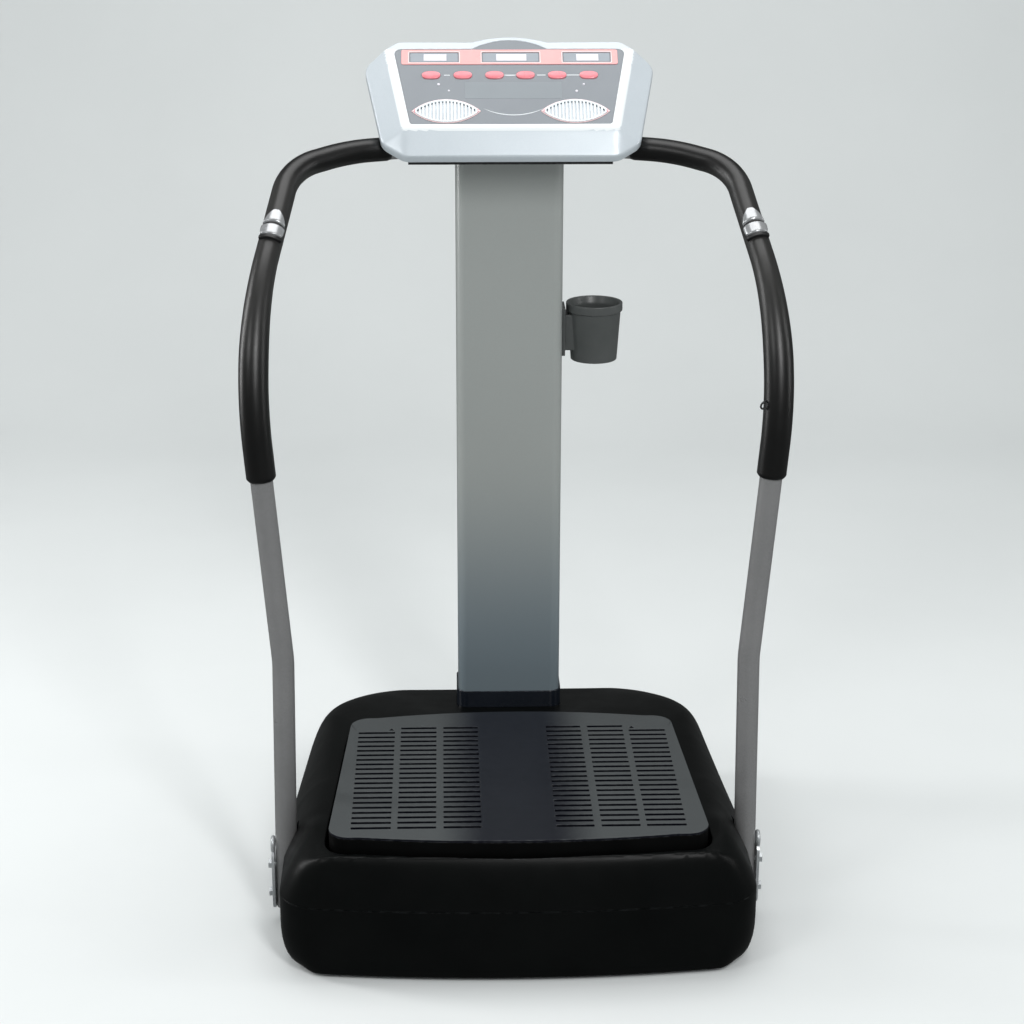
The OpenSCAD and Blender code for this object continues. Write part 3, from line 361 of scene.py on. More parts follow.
def round_poly(points, radii, seg=8):
    """A counter-clockwise outline with rounded corners; a radius of 0 keeps the corner."""
    outline = []
    count = len(points)
    for i in range(count):
        corner, radius = Vector(points[i]), radii[i]
        if radius <= 0:
            outline.append((corner.x, corner.y))
            continue
        before = (Vector(points[i - 1]) - corner).normalized()
        after = (Vector(points[(i + 1) % count]) - corner).normalized()
        half = math.acos(max(-1, min(1, before.dot(after)))) / 2
        centre = corner + (before + after).normalized() * radius / math.sin(half)
        reach = radius / math.tan(half)
        start, end = corner + before * reach - centre, corner + after * reach - centre
        first = math.atan2(start.y, start.x)
        turn = math.atan2(start.x * end.y - start.y * end.x, start.dot(end))
        for j in range(seg + 1):
            angle = first + turn * j / seg
            outline.append((centre.x + radius * math.cos(angle),
                            centre.y + radius * math.sin(angle)))
    return outline


def ray_reach(outline, centre, angle):
    """Farthest distance from the centre to the outline at the angle; None if it misses."""
    dx, dy = math.cos(angle), math.sin(angle)
    best = None
    count = len(outline)
    for i in range(count):
        x1, y1 = outline[i][0] - centre[0], outline[i][1] - centre[1]
        x2 = outline[(i + 1) % count][0] - centre[0]
        y2 = outline[(i + 1) % count][1] - centre[1]
        ex, ey = x2 - x1, y2 - y1
        cross = dx * ey - dy * ex
        if abs(cross) < 1e-12:
            continue
        reach = (x1 * ey - y1 * ex) / cross
        along = (x1 * dy - y1 * dx) / cross
        if reach > 0 and -1e-9 <= along <= 1 + 1e-9 and (best is None or reach > best):
            best = reach
    return best


def resample(outline, n):
    """n points evenly spaced along a closed outline, starting at its first point."""
    dist = [0.0]
    count = len(outline)
    for i in range(count):
        a, b = outline[i], outline[(i + 1) % count]
        dist.append(dist[-1] + math.hypot(b[0] - a[0], b[1] - a[1]))
    points, j = [], 0
    for i in range(n):
        target = dist[-1] * i / n
        while dist[j + 1] < target:
            j += 1
        f = (target - dist[j]) / max(1e-9, dist[j + 1] - dist[j])
        a, b = outline[j], outline[(j + 1) % count]
        points.append((a[0] + (b[0] - a[0]) * f, a[1] + (b[1] - a[1]) * f))
    return points


# ------------------------------------------------------------------ handles
# Corners of the right handle's centre line, from the base up to the console, and their bends.
ARM = [Vector(p) for p in [(341, -150, 24), (335, -150, 416), (373, -148, 887),
                           (322, 104, 1079), (238, 162, 1094), (70, 232, 1094)]]
ARM_BENDS = [0, 180, 300, 100, 300, 0]
TUBE_RADIUS, TUBE_END_RADIUS, TUBE_BORE = 15.9, 15.5, 14.1

GRIP_FOOT_Z = 688
GRIP_END = 0.34             # part of the last straight that the foam covers
GRIP_BORE = 16.15
GRIP_RADIUS, GRIP_SLIMMING = 20.9, 3.5
GRIP_TAPER_Z = (846, 990)   # the grip gets slimmer over this height
GRIP_TOP_RUN = 420          # length after which the radius no longer depends on height
SEAM_ANGLE = math.radians(205)


def arm_at(i, z):
    """The point at height z on the straight from corner i to the next."""
    a, b = ARM[i], ARM[i + 1]
    return a + (b - a) * ((z - a.z) / (b.z - a.z))


def scaled_noise(point, scale, lift=0):
    return noise.noise(Vector((point.x * scale, point.y * scale, point.z * scale + lift)))


def make_grip(side, tag):
    """The foam sleeve of one handle."""
    top = ARM[4] + (ARM[5] - ARM[4]) * GRIP_END
    line = centre_line([arm_at(1, GRIP_FOOT_Z), *ARM[2:5], top], [0, *ARM_BENDS[2:]], step=2.2)
    axes = frames(line, Vector((0, -1, 0)))
    last = len(line) - 1
    dist = [0.0]
    for i in range(last):
        dist.append(dist[-1] + (line[i + 1] - line[i]).length)

    bend = []
    for i in range(len(line)):
        a, b = max(0, i - 4), min(last, i + 4)
        bend.append((axes[b][0] - axes[a][0]) / (dist[b] - dist[a]))

    def radius(i):
        z = 1100 if dist[i] > GRIP_TOP_RUN else line[i].z
        r = GRIP_RADIUS - GRIP_SLIMMING * ease(*GRIP_TAPER_Z, z)
        # rounded ends
        r -= 3.3 * (1 - ease(0, 5.5, dist[i])) ** 2
        r -= 1.2 * (1 - ease(0, 4.0, dist[-1] - dist[i]))
        return r

    def relief(i, angle, away):
        spot = away * 14 + line[i]
        height = 0.07 * scaled_noise(spot, 0.045)
        height += 0.02 * scaled_noise(spot, 0.21, lift=9)
        # compression folds on the inner side of each bend
        inner = max(0.0, away.dot(bend[i]) * 80)
        phase = dist[i] / 1.55 + 1.6 * noise.noise(spot * 0.05)
        height -= 0.10 * min(1.2, inner) ** 1.3 * (0.5 + 0.5 * math.sin(phase))
        height -= 0.25 * min(1.0, inner)
        # the lengthwise moulding seam
        off_seam = (angle - SEAM_ANGLE + math.pi) % (2 * math.pi) - math.pi
        height -= 0.45 * math.exp(-(off_seam / 0.045) ** 2)
        return height

    def ring(i, r, surface=None):
        return tube_ring(line[i], axes[i], r, sides=56, mirror=side, relief=surface)

    rings = [ring(0, GRIP_BORE), ring(0, (GRIP_BORE + radius(0)) / 2)]
    rings += [ring(i, radius(i), partial(relief, i)) for i in range(len(line))]
    rings.append(ring(last, GRIP_BORE))
    rings += [ring(i, GRIP_BORE) for i in range(last, -1, -6)]
    # when the bore's rings end on the first one, merging closes the skin instead
    obj = skin("foam_grip_" + tag, rings, "foam", 50, ends="join" if last % 6 else "open")
    tidy_mesh(obj.data, merge=True)
    register(obj, replaces="grip_" + tag)


def make_tube(side, tag):
    """The bent tube of one handle, hollow at its open ends."""
    line = centre_line(ARM, ARM_BENDS, step=6.0)
    axes = frames(line, Vector((0, -1, 0)))
    last = len(line) - 1
    stations = [(0, TUBE_BORE), (0, TUBE_END_RADIUS)]
    stations += [(i, TUBE_RADIUS) for i in range(len(line))]
    stations.append((last, TUBE_END_RADIUS))
    stations += [(i, TUBE_BORE) for i in range(last, -1, -8)]
    rings = [tube_ring(line[i], axes[i], r, sides=40, mirror=side) for i, r in stations]
    obj = skin("handle_tube_" + tag, rings, "tube", 50, ends="join")
    tidy_mesh(obj.data, merge=True)
    register(obj, replaces="arm_" + tag)


for side, tag in SIDES:
    make_grip(side, tag)
    make_tube(side, tag)

# ------------------------------------------------------------------ CAD pieces
CAD_SHARP_ANGLE = 34    # degrees


def make_smooth_group():
    """A node group that shades smooth except across edges sharper than CAD_SHARP_ANGLE."""
    group = bpy.data.node_groups.new("smooth_by_angle_%d" % CAD_SHARP_ANGLE, "GeometryNodeTree")
    for direction in ("INPUT", "OUTPUT"):
        group.interface.new_socket("Geometry", in_out=direction,
                                   socket_type="NodeSocketGeometry")
    add = partial(add_node, group)
    source = add("NodeGroupInput")
    angle = add("GeometryNodeInputMeshEdgeAngle").outputs["Unsigned Angle"]
    soft = add("FunctionNodeCompare", {0: angle, 1: math.radians(CAD_SHARP_ANGLE)},
               data_type="FLOAT", operation="LESS_EQUAL")
    faces = add("GeometryNodeSetShadeSmooth", {0: source.outputs[0]}, domain="FACE")
    edges = add("GeometryNodeSetShadeSmooth",
                {0: faces.outputs[0], "Shade Smooth": soft.outputs[0]}, domain="EDGE")
    add("NodeGroupOutput", {0: edges.outputs[0]})
    return group


SMOOTH_GROUP = make_smooth_group()


def finish_cad(node, finish, radius, segments):
    """Gives a CAD node its material, soft shading and an edge radius; its mesh points stay."""
    obj = NODES[node]
    for slot in obj.material_slots:
        slot.material = MAT[finish]
    if not obj.material_slots:
        obj.data.materials.append(MAT[finish])
    weld = obj.modifiers.new("weld", "WELD")
    weld.merge_threshold = 2e-6
    if radius:
        edge = obj.modifiers.new("edge", "BEVEL")
        edge.width = radius * MM
        edge.segments = segments
        edge.limit_method = "ANGLE"
        edge.angle_limit = math.radians(32)
        edge.use_clamp_overlap = True
        edge.harden_normals = False
        edge.miter_outer = "MITER_ARC"
    if obj.data.has_custom_normals:
        bpy.context.view_layer.objects.active = obj
        with bpy.context.temp_override(object=obj, active_object=obj, selected_objects=[obj]):
            bpy.ops.mesh.customdata_custom_splitnormals_clear()
    for face in obj.data.polygons:
        face.use_smooth = True
    obj.modifiers.new("smooth", "NODES").node_group = SMOOTH_GROUP
    if radius:
        weighted = obj.modifiers.new("weighted", "WEIGHTED_NORMAL")
        weighted.mode = "FACE_AREA"
        weighted.weight = 80
        weighted.keep_sharp = True


# node, material, edge radius, segments of the edge
CAD_FINISHES = [
    ("lower_shell", "shell", 2.2, 3), ("upper_shell", "shell", 2.4, 3),
    ("bottom_cover", "board", 0.5, 1), ("base_frame", "frame", 0.8, 1),
    ("rubber_feet", "rubber", 1.0, 2), ("motor_housing", "motor", 0.8, 2),
    ("motor_end_caps", "cast", 1.0, 2), ("motor_stator", "copper", 0.4, 1),
    ("motor_mount", "frame", 0.8, 1), ("drive_belt", "belt", 0.4, 1),
    ("bearing_blocks", "cast", 1.0, 2), ("pivot_blocks", "cast", 1.0, 2),
    ("control_board", "pcb", 0.2, 1), ("power_inlet", "black", 0.5, 2),
    ("switch_housing", "black", 0.6, 2), ("column", "column", 0.6, 2),
    ("column_socket", "frame", 0.6, 1), ("column_collar", "collar", 1.2, 3),
    ("frame_bolts", "zinc", 0.3, 2), ("head_bracket", "frame", 0.6, 1),
    ("arm_left", "tube", 0.0, 1), ("arm_right", "tube", 0.0, 1),
    ("pulse_bases", "black", 1.0, 3), ("pulse_plates_left", "chrome", 1.6, 4),
    ("pulse_plates_right", "chrome", 1.6, 4), ("foot_brackets", "zinc", 0.5, 2),
    ("cup_holder", "cup", 1.4, 3), ("console_rear", "rear", 2.0, 3),
    ("console_bezel", "bezel", 3.0, 4), ("console_lens", "lens", 0.4, 2),
    ("display_strip", "strip", 0.2, 1), ("led_displays", "led", 0.15, 1),
    ("console_board", "pcb", 0.2, 1), ("speaker_grilles", "grille", 0.35, 2),
    ("speakers", "cloth", 0.4, 1), ("plate_tread", "tread", 0.9, 2),
    ("plate_board", "board", 0.4, 1), ("plate_skirt", "skirt", 1.2, 2),
    ("plate_frame", "frame", 0.6, 1), ("pivot_pins", "steel", 0.5, 2),
    ("crank_shaft", "steel", 0.8, 2), ("eccentrics", "steel", 0.5, 2),
    ("crank_pulley", "cast", 0.4, 1), ("rotor_shaft", "steel", 0.5, 2),
    ("rotor_core", "steel", 0.4, 1), ("motor_pulley", "steel", 0.4, 1),
    ("rod_left", "cast", 0.8, 2), ("rod_right", "cast", 0.8, 2),
    *[("button_" + key, "button", 0.8, 3) for key in KEY_X],
    ("rocker_switch", "button", 0.6, 2),
    ("wheel_left", "rubber", 1.2, 3), ("wheel_right", "rubber", 1.2, 3),
]
for row in CAD_FINISHES:
    finish_cad(*row)

# ------------------------------------------------------------------ console
TILT = math.radians(42)
CONSOLE_Y, CONSOLE_Z = 135, 1100    # origin of the console's own frame
ARCH_HALF_WIDTH = 56                # half chord of the arches on the top edges


def console(x, s, n):
    """A point of the console's own frame: x across, s up the face, n out of it."""
    return (x, CONSOLE_Y + s * math.cos(TILT) - n * math.sin(TILT),
            CONSOLE_Z + s * math.sin(TILT) + n * math.cos(TILT))


def arched(points, top, rise, seg=20):
    """Adds a circular arch to the top edge of a counter-clockwise outline."""
    c = ARCH_HALF_WIDTH
    r = (c * c + rise * rise) / (2 * rise)
    arch = []
    for j in range(seg + 1):
        x = c * math.cos(math.pi * j / seg)
        arch.append((x, top + rise - r + math.sqrt(max(0, r * r - x * x))))
    outline = []
    for i, a in enumerate(points):
        outline.append(a)
        b = points[(i + 1) % len(points)]
        on_top = abs(a[1] - top) < 0.6 and abs(b[1] - top) < 0.6
        if on_top and a[0] > c - 0.1 and b[0] < -c + 0.1:
            outline += arch
    return outline


def console_outline(inset=0.0):
    right = [(157 - inset * 0.7, -11 + inset), (190 - inset, 13 + inset * 0.6),
             (216.5 - inset, 155 - inset * 0.2), (167 - inset * 0.6, 192 - inset)]
    left = [(-x, y) for x, y in reversed(right)]
    corners = left[-1:] + right + left[:-1]
    return arched(round_poly(corners, [26, 26, 26, 18, 16, 16, 18, 26], 7), 192 - inset, 10)


def lens_outline():
    corners = [(-148, 36), (148, 36), (173, 178), (-173, 178)]
    return arched(round_poly(corners, [5, 5, 9, 9], 6), 178, 17)


# Slopes of the bezel's front: x and s of the upper edge, facing angle, steepness in degrees,
# and the sides (1 right, -1 left) it is on.
BEZEL_SLOPES = [(203.2, 84.0, -10.6, 24.8, (1, -1)), (0, -11, -90, 22.8, (1,)),
                (173.5, 1.0, -54.0, 28.0, (1, -1))]
RIM_HEIGHT = 16.0
SLOPE_BLEND = 0.55
BEZEL_EDGE = 2.6        # radius of the outer edge
LENS_EDGE = 0.8         # radius of the edge around the lens
# inset from the outline and height, from the back of the wall round to its outer side
BEZEL_BACK = [(3.0, -2.9), (3.0, -13.9), (0.9, -14.0), (0.2, -13.6), (0.0, -12.8), (0.0, -6.0)]
# inset past the lens outline and height, of the groove and inner wall
BEZEL_GROOVE = [(0, 12.95), (5, 12.9), (5, 9.0), (0, 8.9), (0, -2.9)]


def face_height(x, s):
    """Height of the bezel's front: a flat rim and the slopes around it, softly blended."""
    heights = [RIM_HEIGHT]
    for px, ps, facing, slope, sides in BEZEL_SLOPES:
        angle = math.radians(facing)
        for m in sides:
            d = (x * m - px) * math.cos(angle) + (s - ps) * math.sin(angle)
            heights.append(-math.tan(math.radians(slope)) * d)
    low = min(heights)
    return low - SLOPE_BLEND * math.log(sum(math.exp(-(h - low) / SLOPE_BLEND) for h in heights))


def make_bezel():
    outer, inner = console_outline(), lens_outline()
    centre = (0.0, 104.0)
    found = {round(math.atan2(y - centre[1], x - centre[0]), 5) for x, y in outer + inner}
    found |= {round(-math.pi + 2 * math.pi * k / 240, 5) for k in range(240)}
    angles = []
    for angle in sorted(found):
        if not angles or angle - angles[-1] > 0.0012:
            angles.append(angle)
    outer_reach = [ray_reach(outer, centre, angle) for angle in angles]
    inner_reach = [ray_reach(inner, centre, angle) for angle in angles]
    front_reach = [r + LENS_EDGE for r in inner_reach]
    rings = []

    def at(r, angle):
        return centre[0] + r * math.cos(angle), centre[1] + r * math.sin(angle)

    def level_ring(reach, inset, height):
        rings.append([console(*at(r - inset, a), height) for r, a in zip(reach, angles)])

    def face_ring(reach, drop=0.0, under=None):
        """A ring below the face by drop; the face is read at the reach `under` if given."""
        heights = [face_height(*at(r, a)) - drop for r, a in zip(under or reach, angles)]
        rings.append([console(*at(r, a), h) for r, a, h in zip(reach, angles, heights)])

    for inset, height in BEZEL_BACK:
        level_ring(outer_reach, inset, height)
    for j in range(7):
        t = math.radians(15 * j)
        inset = BEZEL_EDGE * (1 - math.cos(t))
        face_ring([r - inset for r in outer_reach], drop=BEZEL_EDGE * (1 - math.sin(t)))
    for j in range(1, 16):
        f = j / 16
        face_ring([(far - BEZEL_EDGE) * (1 - f) + near * f
                   for far, near in zip(outer_reach, front_reach)])
    for j in range(4):
        t = math.radians(30 * j)
        face_ring([r + LENS_EDGE * (1 - math.sin(t)) for r in inner_reach],
                  drop=LENS_EDGE * (1 - math.cos(t)), under=front_reach)
    for inset, height in BEZEL_GROOVE:
        level_ring(inner_reach, inset, height)

    obj = skin("bezel_moulding", rings, "bezel", 40, ends="join")
    # the flat rim round the lens takes the lighter rim colour, a painted highlight
    obj.data.materials.append(MAT["rim"])
    untilt = Matrix.Rotation(-TILT, 3, "X")
    for face in obj.data.polygons:
        local = untilt @ (Vector(face.center) * 1000 - Vector((0, CONSOLE_Y, CONSOLE_Z)))
        if local.z > 14.95 and local.y < 178:
            face.material_index = 1
    register(obj, replaces="console_bezel")


def inset_outline(points, inset):
    """Moves a counter-clockwise outline inwards."""
    moved = []
    for i, point in enumerate(points):
        a, b = Vector(points[i - 1]), Vector(point)
        c = Vector(points[(i + 1) % len(points)])
        d1, d2 = b - a, c - b
        inward = Vector((-(d1.y + d2.y), d1.x + d2.x))
        if inward.length > 1e-9:
            inward.normalize()
        moved.append((b.x + inward.x * inset, b.y + inward.y * inset))
    return moved


def flat_piece(name, outline, low, high, finish, soft=0.12, hole=None):
    """A plate on the console face between two heights, its top edge softened.

    With a hole outline of the same point count it becomes a frame.
    """
    layers = [(outline, low), (outline, high - soft), (inset_outline(outline, soft), high)]
    if hole:
        layers += [(inset_outline(hole, -soft), high), (hole, high - soft), (hole, low)]
    rings = [[console(x, y, n) for x, y in points] for points, n in layers]
    register(skin(name, rings, finish, 30, ends="join" if hole else "cap"))


def rect(cx, cy, w, h, r, seg=5):
    x0, x1, y0, y1 = cx - w / 2, cx + w / 2, cy - h / 2, cy + h / 2
    return round_poly([(x0, y0), (x1, y0), (x1, y1), (x0, y1)], [r] * 4, seg)


def eye_outline(cx, cy, w, h, seg=26):
    """Two equal arcs that meet in a point on the left and the right."""
    r = (w * w / 4 + h * h / 4) / h
    half = math.asin((w / 2) / r)
    outline = []
    for m in (1, -1):
        for j in range(seg):
            angle = m * (-half + 2 * half * j / seg)
            outline.append((cx + r * math.sin(angle),
                            cy + m * ((r - h / 2) - r * math.cos(angle))))
    return outline


def pill_outline(cx, cy, w, h):
    """A rounded oval, between a pill and an ellipse."""
    power = 2 / 2.4
    outline = []
    for j in range(48):
        angle = 2 * math.pi * j / 48
        x, y = math.cos(angle), math.sin(angle)
        outline.append((cx + w / 2 * math.copysign(abs(x) ** power, x),
                        cy + h / 2 * math.copysign(abs(y) ** power, y)))
    return outline


def circle_outline(cx, cy, r, seg=20):
    angles = [2 * math.pi * j / seg for j in range(seg)]
    return [(cx + r * math.cos(a), cy + r * math.sin(a)) for a in angles]


WINDOW_S = 162
# name, x, width, width of the digit block, shift of the block to the right, digits
WINDOWS = [("left", -112.5, 75, 34, 1.5, 2), ("middle", 1.5, 87, 45, 1.0, 3),
           ("right", 115, 73, 33, 1.0, 2)]
SEGMENT_WIDTH = 0.95
SEGMENT_REACH = 4.1     # from the middle segment to the top and bottom ones


def make_window(tag, x, width, block, shift, digits):
    """The border of one display window and its seven-segment digits."""
    flat_piece("window_border_" + tag, rect(x, WINDOW_S, width + 2.2, 22.4, 1.8),
               15.6, 16.5, "outline", hole=rect(x, WINDOW_S, width - 0.6, 19.4, 1.2))
    flat_piece("digit_block_" + tag, rect(x + shift, WINDOW_S, block, 12.6, 0.6),
               15.3, 15.95, "digit")
    pitch = block / (digits + 0.25)
    half = pitch * 0.27
    for d in range(digits):
        cx = x + shift + (d - (digits - 1) / 2) * pitch
        bars = [(cx, WINDOW_S + m * SEGMENT_REACH, half * 1.5, SEGMENT_WIDTH)
                for m in (1, 0, -1)]
        bars += [(cx + mx * half, WINDOW_S + my * SEGMENT_REACH / 2,
                  SEGMENT_WIDTH, SEGMENT_REACH * 0.78) for mx in (-1, 1) for my in (-1, 1)]
        for j, bar in enumerate(bars):
            flat_piece("segment_%s_%d_%d" % (tag, d, j), rect(*bar, 0.2, 2),
                       15.9, 16.02, "segment", soft=0.03)


SPEAKER_X, SPEAKER_S = 95, 60


def make_speaker(side, tag):
    x = side * SPEAKER_X
    flat_piece("speaker_ring_" + tag, eye_outline(x, SPEAKER_S, 101.5, 44.4),
               15.35, 16.2, "outline", hole=eye_outline(x, SPEAKER_S, 98.2, 42.1))
    flat_piece("speaker_mesh_" + tag, eye_outline(x, SPEAKER_S, 87.4, 35.4),
               13.05, 14.3, "cloth")
    for j, m in enumerate((-1, 1)):
        flat_piece("speaker_corner_%s_%d" % (tag, j),
                   rect(x + m * 46.4, SPEAKER_S, 1.5, 5.2, 0.5, 3),
                   17.0, 17.45, "button", soft=0.05)


def arc_strip(name, x0, x1, y, sag, width):
    """A thin strip along an arc that sags below y, tapering to its ends."""
    seg = 24
    c = (x1 - x0) / 2
    r = (c * c + sag * sag) / (2 * sag)
    cx = (x0 + x1) / 2
    lower, upper = [], []
    for j in range(seg + 1):
        x = -c + 2 * c * j / seg
        middle = y - sag + r - math.sqrt(r * r - x * x)
        half = width / 2 * (1 - (x / c) ** 4) + 0.12
        lower.append((cx + x, middle - half))
        upper.append((cx + x, middle + half))
    flat_piece(name, lower + upper[::-1], 15.35, 15.6, "tick", soft=0.04)


def make_face_marks():
    """The flat patch, ticks, arcs and dots around the keys."""
    flat_piece("face_patch", rect(4.5, 99.5, 143, 31, 1.5), 15.35, 15.56, "panel", soft=0.04)
    for k, (x, width) in enumerate([(-93.5, 9), (0, 16), (46.5, 13), (93.5, 22)]):
        flat_piece("key_tick_%d" % k, rect(x, 128.2, width, 1.5, 0.6, 3),
                   15.35, 15.62, "tick", soft=0.04)
    arc_strip("face_arc_low", x0=-40, x1=48, y=65, sag=12, width=1.3)
    arc_strip("face_arc_high", x0=-12, x1=12, y=129, sag=1.6, width=1.0)
    dots = [(-106, 111, 2.1), (-91, 99, 1.6), (109, 111, 1.6), (98, 98, 2.0)]   # x, s, radius
    for k, dot in enumerate(dots):
        flat_piece("lamp_dot_%d" % k, circle_outline(*dot), 15.3, 16.0, "digit", soft=0.3)


KEY_S = 128
KEY_SIZE = (27.3, 13.8)
FLANGE_SIZE = (31, 17.4)
KEY_SHOULDER, KEY_DOME = 16.6, 1.35


def make_key(key, x):
    """A domed oval key cap with a flange under the face."""
    w, h = KEY_SIZE
    layers = [(FLANGE_SIZE, 9.4), (FLANGE_SIZE, 12.0), (KEY_SIZE, 12.0), (KEY_SIZE, KEY_SHOULDER)]
    for j in range(1, 9):
        angle = math.radians(10 * j)
        height = h * math.cos(angle)
        layers.append(((w - (h - height), height), KEY_SHOULDER + KEY_DOME * math.sin(angle)))
    rings = [[console(px, py, n) for px, py in pill_outline(x, KEY_S, *size)]
             for size, n in layers]
    obj = skin("key_cap_" + key, rings, "button", 50)
    register(obj, replaces="button_" + key, body="key_" + key)


make_bezel()
for row in WINDOWS:
    make_window(*row)
for side, tag in SIDES:
    make_speaker(side, tag)
make_face_marks()
for key, x in KEY_X.items():
    make_key(key, x)

# ------------------------------------------------------------------ pulse sensors
SENSOR_CENTRE = arm_at(2, 1006)
SENSOR_ALONG = (ARM[3] - ARM[2]).normalized()
# the direction the sensors face, square to the tube, and the one across it
SENSOR_OUT = SENSOR_ALONG.cross(Vector((0.02, -1, 0.25))).cross(SENSOR_ALONG).normalized()
SENSOR_ACROSS = SENSOR_OUT.cross(SENSOR_ALONG)

# name, span along the tube, span of the whole outline, half angle in degrees,
# radii (inside, edge, top), bow of the lower and upper ends, material
SENSOR_PATCHES = [
    ("base", (-27.5, 27.5), (-27.5, 27.5), 60, (16.6, 17.6, 20.2), (0, 0), "black"),
    ("lip", (-27.6, -21.8), (-40, 27.5), 57, (16.8, 19.0, 22.2), (1.5, 1.5), "black"),
    ("plate_upper", (2.3, 25.6), (-24.0, 25.6), 53, (19.0, 20.3, 23.2), (-2.4, 0), "chrome"),
    ("plate_lower", (-21.8, -1.7), (-24.0, 25.6), 53, (19.0, 20.3, 23.4), (1.0, -2.4), "chrome"),
]


def on_tube(side, angle, t, r):
    """A point at an angle from the facing direction, t along the tube, r from its axis."""
    away = SENSOR_OUT * math.cos(angle) + SENSOR_ACROSS * math.sin(angle)
    point = SENSOR_CENTRE + SENSOR_ALONG * t + away * r
    return (point.x * side, point.y, point.z)


def half_width(t, low, high, widest):
    """Half width of the sensor outline at t, blunt at the lower end and rounder at the upper."""
    middle = low + (high - low) * 0.36
    if t >= middle:
        return widest * max(0.0, 1 - ((t - middle) / (high - middle)) ** 1.9) ** (1 / 1.35)
    return widest * max(0.0, 1 - ((middle - t) / (middle - low)) ** 3.4) ** (1 / 3.0)


def tube_patch(name, side, span, outline, degrees, radii, bows, finish):
    """A domed cover wrapped on the tube over a span of the outline."""
    rows, cols = 22, 25
    low, high = outline
    inside, edge_radius, top_radius = radii
    top, bottom = [], []
    for i in range(rows + 1):
        f = 0.5 - 0.5 * math.cos(math.pi * i / rows)
        station = span[0] + (span[1] - span[0]) * f
        inner_station = min(max(station, low + 0.02), high - 0.02)
        width = max(0.02, half_width(inner_station, low, high, math.radians(degrees)))
        for j in range(cols + 1):
            u = -1 + 2 * j / cols
            t = station + (bows[0] * (1 - f) + bows[1] * f) * u * u
            edge = min(1.0, (1 - abs(u)) * 4.5, f * 7, (1 - f) * 7)
            lift = math.sqrt(max(0.0, 1 - (1 - edge) ** 2))
            r = edge_radius + (top_radius - edge_radius) * lift
            top.append(on_tube(side, u * width, t, r))
            bottom.append(on_tube(side, u * width, t, inside))
    n = cols + 1
    under = (rows + 1) * n
    faces = []
    for i in range(rows):
        for j in range(cols):
            quad = (i * n + j, i * n + j + 1, (i + 1) * n + j + 1, (i + 1) * n + j)
            faces.append(quad)
            faces.append(tuple(under + k for k in reversed(quad)))
    # walls between the top and the underside: the two sides, then the two ends
    walls = []
    for i in range(rows):
        walls.append((i * n, (i + 1) * n))
        walls.append(((i + 1) * n + cols, i * n + cols))
    for j in range(cols):
        walls.append((j + 1, j))
        walls.append((rows * n + j, rows * n + j + 1))
    faces += [(a, b, under + b, under + a) for a, b in walls]
    obj = mesh_object(name, top + bottom, faces, finish, 48)
    register(obj)
    return obj


for side, tag in SIDES:
    for part, *shape in SENSOR_PATCHES:
        # the name reads sensor_plate_upper_left, and so on
        tube_patch("sensor_%s_%s" % (part, tag), side, *shape)
    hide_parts("pulse_plates_" + tag)
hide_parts("pulse_bases")

# ------------------------------------------------------------------ clip on the right grip
CLIP_PATH = [(347.5, -150, 799), (342.5, -152.5, 798.2), (338.6, -154, 795),
             (337.6, -154.5, 791.2), (339.6, -154.5, 788.6), (342.0, -154, 789.6)]
CLIP_RADIUS = 1.35
CLIP_STEP = 0.6
# rounded ends: distance from the tip and radius, both as parts of the clip's radius
CLIP_CAP = [(0.0, 0.25), (0.3, 0.7), (0.7, 0.93)]


def make_grip_clip():
    """A bent wire hook, swept along a smooth curve through the path."""
    path = [Vector(p) for p in CLIP_PATH]
    last = len(path) - 1
    line = []
    for i in range(last):
        p0, p1, p2, p3 = path[max(0, i - 1)], path[i], path[i + 1], path[min(last, i + 2)]
        count = max(2, int((p2 - p1).length / CLIP_STEP))
        for j in range(count):
            t = j / count
            line.append(0.5 * ((2 * p1) + (-p0 + p2) * t + (2 * p0 - 5 * p1 + 4 * p2 - p3) * t * t
                               + (-p0 + 3 * p1 - 3 * p2 + p3) * t ** 3))
    line.append(path[-1])
    axes = frames(line, Vector((0.2, -1, 0.1)))
    start, end = axes[0][0], axes[-1][0]
    stations = [(line[0] - start * CLIP_RADIUS * (1 - e), axes[0], CLIP_RADIUS * r)
                for e, r in CLIP_CAP]
    stations += [(point, axis, CLIP_RADIUS) for point, axis in zip(line, axes)]
    stations += [(line[-1] + end * CLIP_RADIUS * (1 - e), axes[-1], CLIP_RADIUS * r)
                 for e, r in reversed(CLIP_CAP)]
    rings = [tube_ring(*station, sides=14) for station in stations]
    register(skin("grip_clip", rings, "black", 60))


make_grip_clip()

# ------------------------------------------------------------------ moulded base shells
BASE_HALF_WIDTH, BASE_REAR_HALF_WIDTH = 342.0, 312.0
BASE_FRONT_Y, BASE_REAR_Y = -328, 350
FRONT_CORNER = 62
SEAM_Z, DECK_Z = 112.0, 187.0   # joint of the two shells, and the deck
WALL = 3.2
OPENING_GAP = 6.0               # gap around the standing plate


def circle_bow(y0, c, rise, gap=0.0):
    """Points of an arc bulging towards -Y from the chord of half width c at y0."""
    r = (c * c + rise * rise) / (2 * rise)
    half = math.asin(c / r)
    angles = [-half + 2 * half * k / 40 for k in range(1, 40)]
    return [((r + gap) * math.sin(a), y0 - rise + r - (r + gap) * math.cos(a)) for a in angles]


